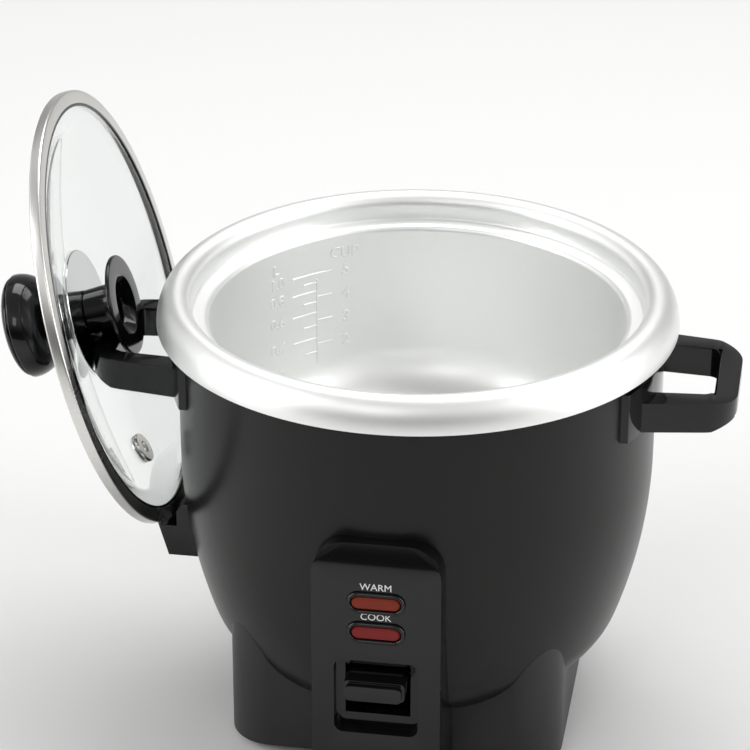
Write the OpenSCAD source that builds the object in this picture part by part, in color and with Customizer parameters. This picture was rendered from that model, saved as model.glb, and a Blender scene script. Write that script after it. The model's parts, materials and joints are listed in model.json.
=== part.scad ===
// Rice cooker with a lift-out pot and a glass lid parked on the left handle.
// Millimetres, +Z up, origin on the table under the centre of the pot.
// The control panel faces -Y and the lid hangs on the -X handle.

/* [Cooking pot] */
// Inner radius of the cooking pot
pot_r = 91; // [76:0.5:110]
// Depth from the pot's skirt edge down to its floor, inside
pot_depth = 81; // [67:0.5:98]
// Wall of the pot
pot_t = 1.5; // [1:0.1:2]
// Inner radius between the pot's wall and floor
pot_corner_r = 22; // [12:1:26]
// Width of the ledge that the lid sits on
ledge_w = 8; // [6.5:0.1:9.6]
// Depth of the lid recess below the crest of the rim
recess_depth = 12; // [10:0.5:14]
// Width of the rolled rim outside the recess
skirt_w = 15; // [12.5:0.1:18]
// Height of the rim's crest above its lower edge
skirt_h = 14; // [12:0.1:17]

/* [Body] */
// Gap between the pot and the inner liner
pot_gap = 3.5; // [2:0.1:5]
// Thickness of the inner liner
liner_t = 0.8; // [0.6:0.1:1.2]
// Gap between the liner and the outer shell
air_gap = 7; // [5:0.1:9]
// Thickness of the outer shell
shell_t = 1.2; // [0.8:0.1:2]
// Radius of the drum's side curve
drum_r = 230; // [190:1:280]
// Angle of the side curve where it meets the heel
drum_angle = 19; // [16:0.5:21]
// Radius of the heel under the drum
heel_r = 35; // [29:0.5:40]
// Height of the space under the pot's floor
under_h = 78; // [76:0.5:94]
// Height of the shell's underside above the table
bowl_z = 26; // [24:0.5:32]

/* [Base] */
// How far the plinth's flats stand inside the drum
base_inset = 31; // [27:0.5:36]
// Corner radius of the plinth
base_corner_r = 20; // [14:0.5:26]
// Wall of the plinth
base_wall = 3; // [2.4:0.1:3.6]
// Height of the plinth's underside above the table
foot_h = 4; // [3.6:0.1:6]
// Radius of a rubber foot
foot_r = 9; // [7:0.5:11]

/* [Control panel] */
// Width of the control panel
panel_w = 55; // [52:0.5:68]
// How far the panel's face stands in front of the drum
panel_reach = 9; // [8:0.1:12]
// Wall of the panel
panel_wall = 2.5; // [2:0.1:3]
// Radius of the panel's top corners
panel_corner_r = 14; // [10:0.5:18]
// Width of a lamp lens
lens_w = 21; // [18:0.5:24]
// Height of a lamp lens
lens_h = 6; // [5:0.1:7.2]
// Spacing of the two lamp lenses
lens_pitch = 14.4; // [12.5:0.1:17]
// Width of the cook lever's tab
lever_w = 26; // [21:0.5:30]
// Turn of the cook lever, in degrees
lever_turn = 8; // [6:0.5:9]

/* [Handles] */
// Reach of a handle out from the drum
handle_reach = 36.5; // [34:0.5:42]
// Width of a handle across its arms
handle_w = 74; // [68:0.5:82]
// Width of a handle's outer bar
handle_bar = 10.1; // [8.5:0.1:10.6]
// Height of a handle's section
handle_h = 13.8; // [12:0.1:16]
// Depth of a handle's top below the pot's skirt edge
handle_drop = 17; // [16:0.5:20]

/* [Lid] */
// Clearance between the lid and the recess that it fits
lid_clear = 1.4; // [0.8:0.1:2]
// Rise of the glass dome
dome_rise = 17.5; // [17:0.5:20]
// Thickness of the glass
glass_t = 4; // [3:0.5:4.5]
// Lean of the parked lid from upright, in degrees
lid_tilt = 15.8; // [15:0.1:18]
// how far the parked lid is turned about the upright [deg]
lid_turn = 2.5; // [0:0.1:3]
// Radius of the knob
knob_r = 23.4; // [20:0.1:28]
// Radius of the hanging hub where it meets its flange
hub_r = 11.2; // [10:0.1:12]
// Radius of the hanging hub's flange
flange_r = 22.5; // [20:0.1:23.4]
// Distance of the steam vent from the lid's centre
vent_pos = 66; // [50:1:72]

/* [Heater] */
// Thickness of the heating plate
plate_t = 13; // [11:0.5:15]
// Radius of the thermostat's sensor cap
sensor_r = 15.5; // [14:0.1:16.2]
// Radius of the thermostat's rod
rod_r = 2.5; // [2:0.1:3]
// Rise of the magnet when the lever is pressed
magnet_lift = 7; // [6:0.1:7.2]

/* [Hidden] */
$fn = 96;
eps = 0.01;
seat_gap = 0.05;          // pieces that rest on each other
head_gap = 0.12;          // flat screw heads on the drum's curved inside
run_gap = 0.05;           // radial clearance of shafts
fit_gap = 0.15;           // trim in its hole

// Radii from the pot outwards
pot_mid = pot_r + pot_t / 2;
recess_r = pot_r + ledge_w;
skirt_r = recess_r + skirt_w;
liner_r = pot_r + pot_t + pot_gap;
body_r = liner_r + liner_t + air_gap + shell_t;

// Heights from the table upwards
rim_z = bowl_z + under_h + pot_depth;
crest_z = rim_z + skirt_h;
ledge_z = crest_z - recess_depth;
pot_floor_z = bowl_z + under_h;
heel_centre = [body_r - drum_r + (drum_r - heel_r) * cos(drum_angle), bowl_z + heel_r];
turn_z = heel_centre[1] + (drum_r - heel_r) * sin(drum_angle);
shell_top_z = rim_z - 1;
plate_top_z = pot_floor_z - pot_t - seat_gap;
plate_z = plate_top_z - plate_t;
post_h = 5;
liner_z = plate_z - post_h;        // the liner's floor, upper face
liner_under_z = liner_z - liner_t;
plate_r = pot_r - 17;
opening_r = 48;                    // hole in the shell's underside

// Screws
screw_r = 2;
screw_head_r = 3.6;
screw_head_h = 2.2;

// Base
base_half = body_r - base_inset;
base_floor = 3;
floor_top_z = foot_h + base_floor;
base_hole_r = opening_r - 2;
base_top_z = bowl_z + 40;
pillar_r = 5;
pillar_ring = opening_r + 6;
cover_t = 1.2;
cover_r = base_hole_r + 6;
cover_screw_r = 1.5;
cover_ring = base_hole_r + 3;
foot_pos = base_half - 22;
foot_peg_r = 3;

// Thermostat, on the pot's axis
cap_t = 0.8;
cap_h = 16.5;
cap_z = plate_top_z - cap_h;
sensor_travel = 1.2;
can_r = sensor_r - cap_t - run_gap;
can_t = 0.8;
can_top_z = plate_top_z - 6;
can_flange_r = sensor_r + 8;
can_z = liner_under_z - 13;        // underside of the can
can_flange_z = can_z + 8;
spring_wire = 1;
ferrite_r = 10;
ferrite_h = 3.6;
ferrite_z = plate_top_z - cap_t - ferrite_h;
magnet_r = 9;
magnet_h = 6;
magnet_z = ferrite_z - magnet_lift - sensor_travel - 0.1 - magnet_h;
collar_r = 5;
collar_h = 3;
lever_drop = 43.5;
lever_z = plate_z - lever_drop;    // height of the lever's pin
roller_r = 2.6;
collar_z = lever_z + 1 + roller_r + 0.3;

// Cook lever
lever_arm = 50;                    // from the pin back to the rod's axis
pin_r = 2;
lever_hub_r = 4.5;
cheek_gap = 8;
cheek_t = 1.5;
face_y = -(body_r + panel_reach);
tab_z = lever_z + 15;
tab_h = 9;
tab_front = face_y - 8;
tab_drop = (abs(face_y) - lever_arm) * sin(lever_turn) + 2;

// Control panel, from the lever's recess upwards
pocket_w = lever_w + 10;
pocket_top_z = lever_z + 31;
pocket_low_z = tab_z - tab_drop - 9;
pocket_depth = 6;
cook_z = pocket_top_z + lens_h / 2 + 11.2;
warm_z = cook_z + lens_pitch;
panel_top_z = warm_z + 26;
panel_low_z = floor_top_z + 3;
bevel_drop = 9;
bevel_angle = 22;
panel_back = 60;                   // the panel's block reaches this far under the drum
boss_pos = [19, panel_top_z - 10];
boss_r = 3.5;
window_half = 17;
window_low_z = lever_z - 10;
window_top_z = warm_z + 10;

// Handles
handle_top_z = rim_z - handle_drop;
handle_tip = body_r + handle_reach;
handle_in = handle_tip - handle_bar;
handle_low_z = handle_top_z - handle_h;
handle_end = handle_w / 2 - 5;       // half-width where the bar meets the arms
arm_root = 12;
arm_end = 9.5;
bar_bevel = 1.2;
under_slope = 19;
pad_t = 3;
pad_half = handle_w / 2 + 10;
pad_top_z = rim_z - 8;
handle_screw_y = handle_w / 2 - arm_root / 2 - 2.5;
handle_screw_z = handle_top_z - handle_h / 2;
handle_screw_l = 10;

// Lid, in its own frame: axis +Z through the knob, rim plane at 0
lid_r = recess_r - lid_clear;
rim_mid = 1;
glass_edge = lid_r - 1.6;
rim_flat = 6;
rim_fillet = 20;
bend_r = glass_edge - rim_flat;
dome_r = (bend_r * bend_r + dome_rise * dome_rise) / (2 * dome_rise) - rim_fillet;
dome_angle = asin(bend_r / (dome_r + rim_fillet));
dome_top = rim_mid + dome_rise;
glass_in = dome_top - glass_t / 2;
glass_out = dome_top + glass_t / 2;
band_t = 0.5;
band_low = rim_mid - glass_t / 2 - band_t;
band_high = rim_mid + glass_t / 2 + band_t;
disc_r = 28.3;
disc_t = 0.7;
dome_in_r = dome_r - glass_t / 2;
disc_low = glass_in + sqrt(pow(dome_in_r, 2) - disc_r * disc_r) - dome_in_r - 0.2 - disc_t;
hub_top = disc_low - seat_gap;
hub_neck_r = hub_r - 1.2;
hub_bore_r = hub_r - 2;
hub_wall = 3.5;
flange_t = 2;
flange_high = -1.6;
flange_low = flange_high - flange_t;
mouth_r = 13.4;
neck_r = 11;
stem_foot_r = neck_r + 1.5;
stem_foot_top = glass_out + 2;
knob_low = stem_foot_top + 8.5;
knob_wide = knob_low + 13;
knob_top = knob_wide + 7;
lid_screw_top = stem_foot_top + 16;
vent_r = 4.5;
vent_bore_r = 2.8;
vent_turn = 192;

// The parked lid's hub lies along the bar's sloping top, just above it
hang_gap = 0.3;
neck_cone = atan((hub_r - hub_neck_r) / (hub_top - flange_high));
bar_slope = lid_tilt - neck_cone;
lid_x = -(handle_in + 2.6);
hub_edge_in = lid_x + handle_in - flange_high * cos(lid_tilt) + hub_r * sin(lid_tilt);
lid_z = handle_top_z + hang_gap / cos(bar_slope) + flange_high * sin(lid_tilt) + hub_r * cos(lid_tilt)
    + hub_edge_in * tan(bar_slope);
// lowest corner of the parked lid's band
lid_low = [lid_x + lid_r * sin(lid_tilt) - band_high * cos(lid_tilt),
    lid_z - lid_r * cos(lid_tilt) - band_high * sin(lid_tilt)];

// Lid bracket, under the left handle
bracket_half = 25;
bracket_floor_z = lid_low[1] - 0.4;
bracket_lip_x = lid_low[0] - 1.2;
bracket_lip_h = 1.6;
bracket_h = 15;
bracket_screw_y = 14;

// Power inlet, at the back
inlet_half = 14;
inlet_z = floor_top_z + 9;
inlet_h = 17;
inlet_front = base_half + 2;
inlet_back = base_half - 22;
socket_depth = 16;
contact_r = 1.6;

// ---- Outlines ----

function reverse(p) = [for (i = [len(p) - 1 : -1 : 0]) p[i]];
function arc(c, r, a0, a1, n = 16) =
    [for (i = [0 : n]) let (a = a0 + (a1 - a0) * i / n) c + r * [cos(a), sin(a)]];
function oval_arc(c, rx, ry, a0, a1, n = 16) =
    [for (i = [0 : n]) let (a = a0 + (a1 - a0) * i / n) c + [rx * cos(a), ry * sin(a)]];

// The pot's section from its centre out to the skirt edge, d outside the wall's middle
function pot_line(d) =
    let (low = pot_floor_z - pot_t / 2, cr = pot_corner_r + pot_t / 2,
         ledge = ledge_z - pot_t / 2, wall = recess_r + pot_t / 2,
         top = crest_z - pot_t / 2, edge = skirt_r - pot_t / 2, lip = 5)
    concat(
        [[0, low - d]],
        arc([pot_mid - cr, low + cr], cr + d, -90, 0),
        arc([pot_mid + 2, ledge - 2], 2 - d, 180, 90, 8),
        arc([wall - 2, ledge + 2], 2 + d, -90, 0, 8),
        arc([wall + lip, top - lip], lip - d, 180, 90, 12),
        oval_arc([wall + lip, rim_z], edge - wall - lip - d, top - rim_z - d, 87, 0));

// The shell's section from the hole in its underside up to its top edge, d outside its middle
function shell_line(d) =
    let (mid = shell_t / 2)
    concat(
        [[opening_r, bowl_z + mid - d]],
        arc(heel_centre, heel_r - mid + d, -90, -drum_angle),
        arc([body_r - drum_r, turn_z], drum_r - mid + d, -drum_angle, 0, 12),
        [[body_r - mid + d, shell_top_z]]);

// The liner's section from its central hole up to the flange on the shell, d outside its middle
function liner_line(d) =
    let (mid = liner_r + liner_t / 2, low = liner_z - liner_t / 2,
         top = shell_top_z + liner_t / 2, corner = 8, bend = 2)
    concat(
        [[sensor_r + 3, low - d]],
        arc([mid - corner, low + corner], corner + d, -90, 0, 10),
        arc([mid + bend, top - bend], bend - d, 180, 90, 8),
        [[body_r - 0.3, top - d]]);

// The glass's section from the centre out to its edge, d above its middle
function glass_line(d) = concat(
    [for (i = [0 : 18]) let (a = dome_angle * i / 18)
        [(dome_r + d) * sin(a), dome_top - dome_r + (dome_r + d) * cos(a)]],
    [for (i = [1 : 6]) let (a = dome_angle * (1 - i / 6))
        [bend_r - (rim_fillet - d) * sin(a), rim_mid + rim_fillet - (rim_fillet - d) * cos(a)]],
    [[glass_edge, rim_mid + d]]);

// Height of the dome's outer face at radius r
function dome_at(r) = dome_top - dome_r + sqrt(pow(dome_r + glass_t / 2, 2) - r * r);

// ---- Helpers ----

// Everything inside the drum's outer face, grown by g
module drum_solid(g = 0) {
    rotate_extrude()
        polygon(concat([[0, bowl_z - g]], shell_line(shell_t / 2 + g), [[0, shell_top_z]]));
}

// Rounded rectangle centred on the origin
module rounded(w, h, r) {
    square([w, h - 2 * r], center = true);
    square([w - 2 * r, h], center = true);
    for (x = [-1, 1], y = [-1, 1])
        translate([x * (w / 2 - r), y * (h / 2 - r)]) circle(r);
}

// Stadium as wide as w and as high as h
module stadium(w, h) {
    square([w - h, h], center = true);
    for (x = [-1, 1]) translate([x * (w - h) / 2, 0]) circle(h / 2);
}

// Extrudes an outline drawn in X and Z from y0 to y1
module along_y(y0, y1) {
    translate([0, y1, 0]) rotate([90, 0, 0]) linear_extrude(y1 - y0) children();
}

// Local +Z points straight out of the drum's wall at angle phi and height z
module on_wall(phi, z) {
    lean = z > turn_z ? 0 : asin((turn_z - z) / drum_r);
    rotate(phi) translate([body_r - drum_r, 0, max(z, turn_z)])
        rotate([0, 90 + lean, 0]) translate([0, 0, drum_r]) children();
}

// Pan-head screw: head below 0, shank above it
module screw(shank, r = screw_r, head_r = screw_head_r, head_h = screw_head_h) {
    translate([0, 0, -head_h]) cylinder(r = head_r, h = head_h);
    cylinder(r = r, h = shank);
}

// Round bar between two points
module rod_between(a, b, r) {
    v = b - a;
    translate(a) rotate([0, acos(v[2] / norm(v)), atan2(v[1], v[0])])
        cylinder(r = r, h = norm(v), $fn = 16);
}

// Coil spring of round wire, standing on z0
module coil_spring(r, wire, z0, h, turns) {
    steps = 14;
    n = turns * steps;
    sides = 6;
    rings = [for (i = [0 : n]) let (a = 360 * i / steps, z = z0 + wire / 2 + (h - wire) * i / n)
        [for (k = [0 : sides - 1]) let (b = 360 * k / sides, q = r + wire / 2 * cos(b))
            [q * cos(a), q * sin(a), z + wire / 2 * sin(b)]]];
    faces = concat(
        [[for (k = [0 : sides - 1]) k]],
        [for (i = [0 : n - 1], k = [0 : sides - 1]) let (j = (k + 1) % sides)
            [i * sides + k, (i + 1) * sides + k, (i + 1) * sides + j, i * sides + j]],
        [[for (k = [sides - 1 : -1 : 0]) n * sides + k]]);
    polyhedron([for (ring = rings) each ring], faces, convexity = 8);
}

module lid_frame() {
    translate([lid_x, 0, lid_z]) rotate(lid_turn) rotate([0, -90 - lid_tilt, 0]) children();
}

module vent_frame() {
    lean = asin(vent_pos / dome_r);
    rotate(vent_turn) translate([0, 0, dome_top - dome_r]) rotate([0, lean, 0])
        translate([0, 0, dome_r]) children();
}

// ---- Body ----

module outer_shell() {
    color([0.11, 0.11, 0.11]) difference() {
        rotate_extrude() polygon(concat(shell_line(shell_t / 2), reverse(shell_line(-shell_t / 2))));
        // window behind the control panel for the lever and the lamps
        translate([-window_half, -body_r - 5, window_low_z])
            cube([2 * window_half, body_r / 2, window_top_z - window_low_z]);
        for (s = [-1, 1]) {
            translate([s * boss_pos[0], -body_r / 2, boss_pos[1]]) rotate([90, 0, 0])
                cylinder(r = cover_screw_r + 0.2, h = body_r);
            on_wall(180 + s * bracket_screw_a(), bracket_screw_z()) translate([0, 0, -5])
                cylinder(r = screw_r + 0.2, h = 10);
        }
        for (a = [0, 180], s = [-1, 1])
            on_wall(a + s * handle_screw_a(), handle_screw_z) translate([0, 0, -5])
                cylinder(r = screw_r + 0.2, h = 10);
        for (a = [45 : 90 : 315]) rotate(a) translate([pillar_ring, 0, bowl_z - 5])
            cylinder(r = screw_r + 0.2, h = 10);
    }
}

function handle_screw_a() = asin(handle_screw_y / body_r);
function bracket_screw_z() = bracket_floor_z - bracket_h / 2;
function bracket_screw_a() = asin(bracket_screw_y / body_r);

module inner_liner() {
    color([0.72, 0.73, 0.74]) difference() {
        rotate_extrude() polygon(concat(liner_line(liner_t / 2), reverse(liner_line(-liner_t / 2))));
        for (a = [90, 210, 330]) rotate(a) translate([post_ring(), 0, liner_z - 5])
            cylinder(r = screw_r + 0.2, h = 10);
        for (a = element_ends()) rotate(a) translate([element_ring(), 0, liner_z - 5])
            cylinder(r = 5, h = 10);
    }
}

function post_ring() = plate_r - 13;
function element_ring() = plate_r - 24;
function element_ends() = [75, 105];

module plinth_block(inset, z0, z1) {
    translate([0, 0, z0]) linear_extrude(z1 - z0)
        rounded(2 * (base_half - inset), 2 * (base_half - inset), base_corner_r - inset);
}

module base_housing() {
    color([0.08, 0.08, 0.08]) difference() {
        union() {
            difference() {
                plinth_block(0, foot_h, base_top_z);
                plinth_block(base_wall, floor_top_z, base_top_z + eps);
                translate([0, 0, foot_h - eps]) cylinder(r = base_hole_r, h = base_floor + 1);
            }
            for (a = [45 : 90 : 315]) rotate(a) translate([pillar_ring, 0, foot_h])
                cylinder(r = pillar_r, h = bowl_z - foot_h + eps);
        }
        drum_solid(seat_gap);
        for (a = [45 : 90 : 315]) rotate(a) translate([pillar_ring, 0, foot_h - eps]) {
            cylinder(r = screw_head_r + 0.4, h = base_floor + eps);
            cylinder(r = screw_r + 0.2, h = bowl_z);
        }
        for (x = [-1, 1], y = [-1, 1])
            translate([x * foot_pos, y * foot_pos, foot_h - eps]) cylinder(r = foot_peg_r, h = bowl_z);
        for (a = cover_angles()) rotate(a) translate([cover_ring, 0, foot_h - eps])
            cylinder(r = cover_screw_r, h = bowl_z / 2);
        // opening for the power inlet
        along_y(inlet_back, base_half + 5) translate([0, inlet_z])
            rounded(2 * inlet_half + 0.3, inlet_h + 0.3, 2);
    }
}

function cover_angles() = [0, 120, 240];

module bottom_cover() {
    color([0.55, 0.56, 0.57]) difference() {
        translate([0, 0, foot_h - cover_t]) cylinder(r = cover_r, h = cover_t);
        for (a = cover_angles()) rotate(a) translate([cover_ring, 0, 0])
            cylinder(r = cover_screw_r + 0.2, h = 10);
        for (a = [0 : 30 : 330]) rotate(a) translate([16, -1.5, 0]) cube([22, 3, 10]);
    }
}

module rubber_feet() {
    color([0.13, 0.13, 0.13]) for (x = [-1, 1], y = [-1, 1])
        translate([x * foot_pos, y * foot_pos, 0]) {
            cylinder(r1 = foot_r - 1, r2 = foot_r, h = foot_h);
            cylinder(r = foot_peg_r, h = floor_top_z + 1);
        }
}

module base_screws() {
    color([0.75, 0.75, 0.76]) for (a = [45 : 90 : 315]) rotate(a)
        translate([pillar_ring, 0, floor_top_z]) screw(bowl_z + shell_t + 5 - floor_top_z);
}

module base_nuts() {
    color([0.75, 0.75, 0.76]) for (a = [45 : 90 : 315]) rotate(a)
        translate([pillar_ring, 0, bowl_z + shell_t]) difference() {
            cylinder(r = 4, h = 3.2, $fn = 6);
            translate([0, 0, -1]) cylinder(r = screw_r, h = 6);
        }
}

module cover_screws() {
    color([0.75, 0.75, 0.76]) for (a = cover_angles()) rotate(a)
        translate([cover_ring, 0, foot_h - cover_t])
            screw(base_floor + cover_t - 0.5, r = cover_screw_r, head_r = 3, head_h = 1.5);
}

// ---- Control panel ----

// The panel's front outline, in from its edge by inset
module panel_outline(inset) {
    w = panel_w / 2 - inset;
    r = panel_corner_r - inset;
    top = panel_top_z - inset;
    low = panel_low_z + inset;
    translate([-w, low]) square([2 * w, top - r - low]);
    translate([-w + r, low]) square([2 * (w - r), top - low]);
    for (s = [-1, 1]) translate([s * (w - r), top - r]) circle(r);
}

module control_panel() {
    color([0.05, 0.05, 0.05]) difference() {
        union() {
            difference() {
                along_y(face_y, -panel_back) panel_outline(0);
                along_y(face_y + panel_wall, -panel_back + eps) panel_outline(panel_wall);
            }
            // thicker front behind the bevel
            along_y(face_y, face_y + panel_wall + bevel_drop * tan(bevel_angle)) intersection() {
                panel_outline(0);
                translate([-panel_w / 2, panel_top_z - bevel_drop - 2]) square([panel_w, bevel_drop + 2]);
            }
            // walls of the lever's pocket
            along_y(face_y, face_y + pocket_depth + 1.5) translate([0, (pocket_top_z + pocket_low_z) / 2])
                square([pocket_w + 3, pocket_top_z - pocket_low_z + 3], center = true);
            for (s = [-1, 1]) translate([s * boss_pos[0], 0, boss_pos[1]]) along_y(face_y + 1, -body_r / 2)
                circle(boss_r);
        }
        along_y(face_y - eps, face_y + pocket_depth) translate([0, (pocket_top_z + pocket_low_z) / 2])
            rounded(pocket_w, pocket_top_z - pocket_low_z, 4);
        // slot that the lever's tab comes through
        along_y(face_y, face_y + 20)
            translate([-lever_w / 2 - 1, tab_z - tab_drop - 2.5]) square([lever_w + 2, tab_h + tab_drop + 4.5]);
        for (z = [warm_z, cook_z]) along_y(face_y - 1, face_y + 5) translate([0, z])
            stadium(lens_w + 2 * fit_gap, lens_h + 2 * fit_gap);
        for (s = [-1, 1]) translate([s * boss_pos[0], 0, boss_pos[1]]) along_y(face_y + 3, 0)
            circle(cover_screw_r);
        // bevel across the top of the face
        translate([0, face_y, panel_top_z - bevel_drop]) rotate([-bevel_angle, 0, 0])
            translate([-panel_w, -20, 0]) cube([2 * panel_w, 20, 30]);
        drum_solid(seat_gap);
        plinth_block(-seat_gap, 0, base_top_z + 20);
    }
}

module panel_screws() {
    seat = sqrt(pow(body_r - shell_t, 2) - pow(boss_pos[0] + 3, 2)) - head_gap;
    color([0.75, 0.75, 0.76]) for (s = [-1, 1]) translate([s * boss_pos[0], -seat, boss_pos[1]])
        rotate([90, 0, 0]) screw(body_r + panel_reach - 4 - seat, r = cover_screw_r, head_r = 3, head_h = 1.8);
}

module lens_bezels() {
    color([0.06, 0.06, 0.06]) for (z = [warm_z, cook_z]) along_y(face_y - 1.4, face_y) translate([0, z])
        difference() {
            stadium(lens_w + 4.4, lens_h + 4);
            stadium(lens_w + 2 * fit_gap, lens_h + 2 * fit_gap);
        }
}

module lens(z) {
    along_y(face_y - 1, face_y + panel_wall + 1) translate([0, z]) stadium(lens_w, lens_h);
    along_y(face_y + panel_wall, face_y + panel_wall + 1.5) translate([0, z])
        stadium(lens_w + 3, lens_h + 3);
}

module warm_lens() { color([0.85, 0.2, 0.08]) lens(warm_z); }

module cook_lens() { color([0.8, 0.08, 0.08]) lens(cook_z); }

module lamp_holder() {
    back = face_y + 13.5;
    low = cook_z - 7;
    high = warm_z + 7;
    color([0.9, 0.88, 0.82]) translate([0, 0, (low + high) / 2]) {
        along_y(back - 1.5, back) square([32, high - low], center = true);
        for (s = [-1, 1]) along_y(face_y + panel_wall, back) translate([s * 15.25, 0])
            square([1.5, high - low], center = true);
    }
}

module neon_lamps() {
    color([1, 0.75, 0.6]) for (z = [warm_z, cook_z]) translate([-8, face_y + 8.5, z]) rotate([0, 90, 0]) {
        cylinder(r = 2.6, h = 16);
        translate([0, 0, 16]) sphere(2.6);
        translate([0, 0, -5]) cylinder(r = 1.2, h = 5);
    }
}

// ---- Cook lever ----

module cook_lever() {
    arm = [for (p = [[-lever_arm, 0], [-lever_arm - 18, 6], [face_y + 12, 19.5]]) p + [0, lever_z]];
    color([0.05, 0.05, 0.05]) difference() {
        union() {
            translate([-cheek_gap + 0.4, -lever_arm, lever_z]) rotate([0, 90, 0])
                cylinder(r = lever_hub_r, h = 2 * cheek_gap - 0.8);
            // back arm and the roller that lifts the rod
            translate([-3, -lever_arm, lever_z - 1.5]) cube([6, lever_arm, 3]);
            translate([-3, 0, lever_z + 1]) rotate([0, 90, 0]) cylinder(r = roller_r, h = 6);
            // front arm
            translate([-3, 0, 0]) rotate([90, 0, 90]) linear_extrude(6) polygon(concat(
                [for (p = arm) p + [0, 2]], [for (p = reverse(arm)) p - [0, 2]]));
            // tab with a rounded nose
            along_y(tab_front + 3, face_y + 14) translate([0, tab_z + tab_h / 2]) rounded(lever_w, tab_h, 2);
            along_y(tab_front, tab_front + 3 + eps) translate([0, tab_z + tab_h / 2])
                rounded(lever_w - 2, tab_h - 2, 2);
        }
        translate([-cheek_gap - 5, -lever_arm, lever_z]) rotate([0, 90, 0])
            cylinder(r = pin_r + run_gap, h = 2 * cheek_gap + 10);
    }
}

module lever_pin() {
    w = cheek_gap + cheek_t;
    color([0.8, 0.8, 0.82]) translate([-w - 1.5, -lever_arm, lever_z]) rotate([0, 90, 0])
        cylinder(r = pin_r, h = 2 * w + 3);
}

module lever_bracket() {
    y0 = -lever_arm - 8;
    y1 = -can_flange_r - 3;
    w = cheek_gap + cheek_t;
    color([0.7, 0.71, 0.72]) difference() {
        union() {
            for (x = [-w, cheek_gap]) translate([x, y0, lever_z - 6])
                cube([cheek_t, y1 - y0, liner_under_z - lever_z + 6]);
            translate([-w - 6, y0, liner_under_z - cheek_t]) cube([2 * w + 12, y1 - y0, cheek_t]);
        }
        translate([-w - 1, -lever_arm, lever_z]) rotate([0, 90, 0]) cylinder(r = pin_r, h = 2 * w + 2);
    }
}

// ---- Heater and thermostat ----

module heating_plate() {
    color([0.78, 0.78, 0.77]) difference() {
        translate([0, 0, plate_z]) cylinder(r = plate_r, h = plate_t);
        cylinder(r = sensor_r + 2, h = rim_z);
        rotate_extrude() translate([element_ring(), plate_z]) circle(4.1);
        for (a = [90, 210, 330]) rotate(a) translate([post_ring(), 0, plate_z - 1])
            cylinder(r = screw_r, h = 8);
        rotate_extrude() polygon([[plate_r - 2, plate_top_z + eps], [plate_r + 1, plate_top_z + eps],
            [plate_r + 1, plate_top_z - 3]]);
    }
}

module heating_element() {
    color([0.45, 0.44, 0.43]) {
        rotate(element_ends()[1]) rotate_extrude(angle = 330) translate([element_ring(), plate_z]) circle(4);
        for (a = element_ends()) rotate(a) translate([element_ring(), 0, liner_under_z - 10])
            cylinder(r = 3, h = plate_z - liner_under_z + 10);
    }
}

module plate_posts() {
    color([0.75, 0.75, 0.75]) for (a = [90, 210, 330]) rotate(a)
        translate([post_ring(), 0, liner_z]) difference() {
            cylinder(r = 5, h = post_h);
            translate([0, 0, -1]) cylinder(r = screw_r + 0.1, h = post_h + 2);
        }
}

module plate_screws() {
    color([0.75, 0.75, 0.76]) for (a = [90, 210, 330]) rotate(a)
        translate([post_ring(), 0, liner_under_z]) screw(liner_t + post_h + 6);
}

module thermostat_can() {
    color([0.7, 0.71, 0.72]) difference() {
        union() {
            translate([0, 0, can_z]) cylinder(r = can_r, h = can_top_z - can_z);
            translate([0, 0, can_flange_z]) cylinder(r = can_flange_r, h = 1.2);
        }
        translate([0, 0, can_z + 1.2]) cylinder(r = can_r - can_t, h = rim_z);
        translate([0, 0, can_z - 1]) cylinder(r = rod_r + run_gap, h = 5);
        for (a = [90, 210, 330]) rotate(a) translate([can_flange_r - 4, 0, can_z])
            cylinder(r = cover_screw_r + 0.1, h = 20);
    }
}

module can_screws() {
    reach = liner_under_z - can_flange_z - 1.2;
    color([0.75, 0.75, 0.76]) for (a = [90, 210, 330]) rotate(a) translate([can_flange_r - 4, 0, can_flange_z]) {
        screw(reach + 1.2, r = cover_screw_r, head_r = 3, head_h = 1.8);
        translate([0, 0, 1.2]) cylinder(r = 2.8, h = reach);
    }
}

module sensor_cap() {
    color([0.83, 0.83, 0.83]) difference() {
        union() {
            translate([0, 0, cap_z]) cylinder(r = sensor_r, h = cap_h);
            translate([0, 0, cap_z]) cylinder(r = sensor_r + 1.5, h = 0.8);
        }
        translate([0, 0, cap_z - 1]) cylinder(r = sensor_r - cap_t, h = cap_h + 1 - cap_t);
    }
}

module ferrite_disc() {
    color([0.25, 0.24, 0.23]) translate([0, 0, ferrite_z]) cylinder(r = ferrite_r, h = ferrite_h);
}

module sensor_spring() {
    z0 = can_flange_z + 1.2;
    color([0.6, 0.6, 0.62]) coil_spring(sensor_r + 0.6, spring_wire, z0, cap_z - z0, 4);
}

module magnet() {
    color([0.3, 0.3, 0.32]) translate([0, 0, magnet_z]) cylinder(r = magnet_r, h = magnet_h);
}

module thermostat_rod() {
    color([0.8, 0.8, 0.82]) {
        translate([0, 0, collar_z]) cylinder(r = rod_r, h = magnet_z - collar_z);
        translate([0, 0, collar_z]) cylinder(r = collar_r, h = collar_h);
    }
}

module rod_spring() {
    z0 = collar_z + collar_h;
    color([0.6, 0.6, 0.62]) coil_spring(rod_r + 1.2, 0.8, z0, can_z - z0, 7);
}

module microswitch() {
    x = cheek_gap + cheek_t;
    color([0.15, 0.15, 0.16]) translate([x, -can_flange_r - 23, lever_z + 4]) cube([6.5, 20, 10]);
    color([0.8, 0.6, 0.3]) for (k = [0 : 2]) translate([x + 3, -can_flange_r - 20 + 7 * k, lever_z + 14])
        translate([-0.4, -1.5, -eps]) cube([0.8, 3, 6]);
}

module keep_warm_heater() {
    color([0.85, 0.82, 0.75]) translate([34, -20, liner_under_z - 4]) cube([12, 40, 4]);
}

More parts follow.
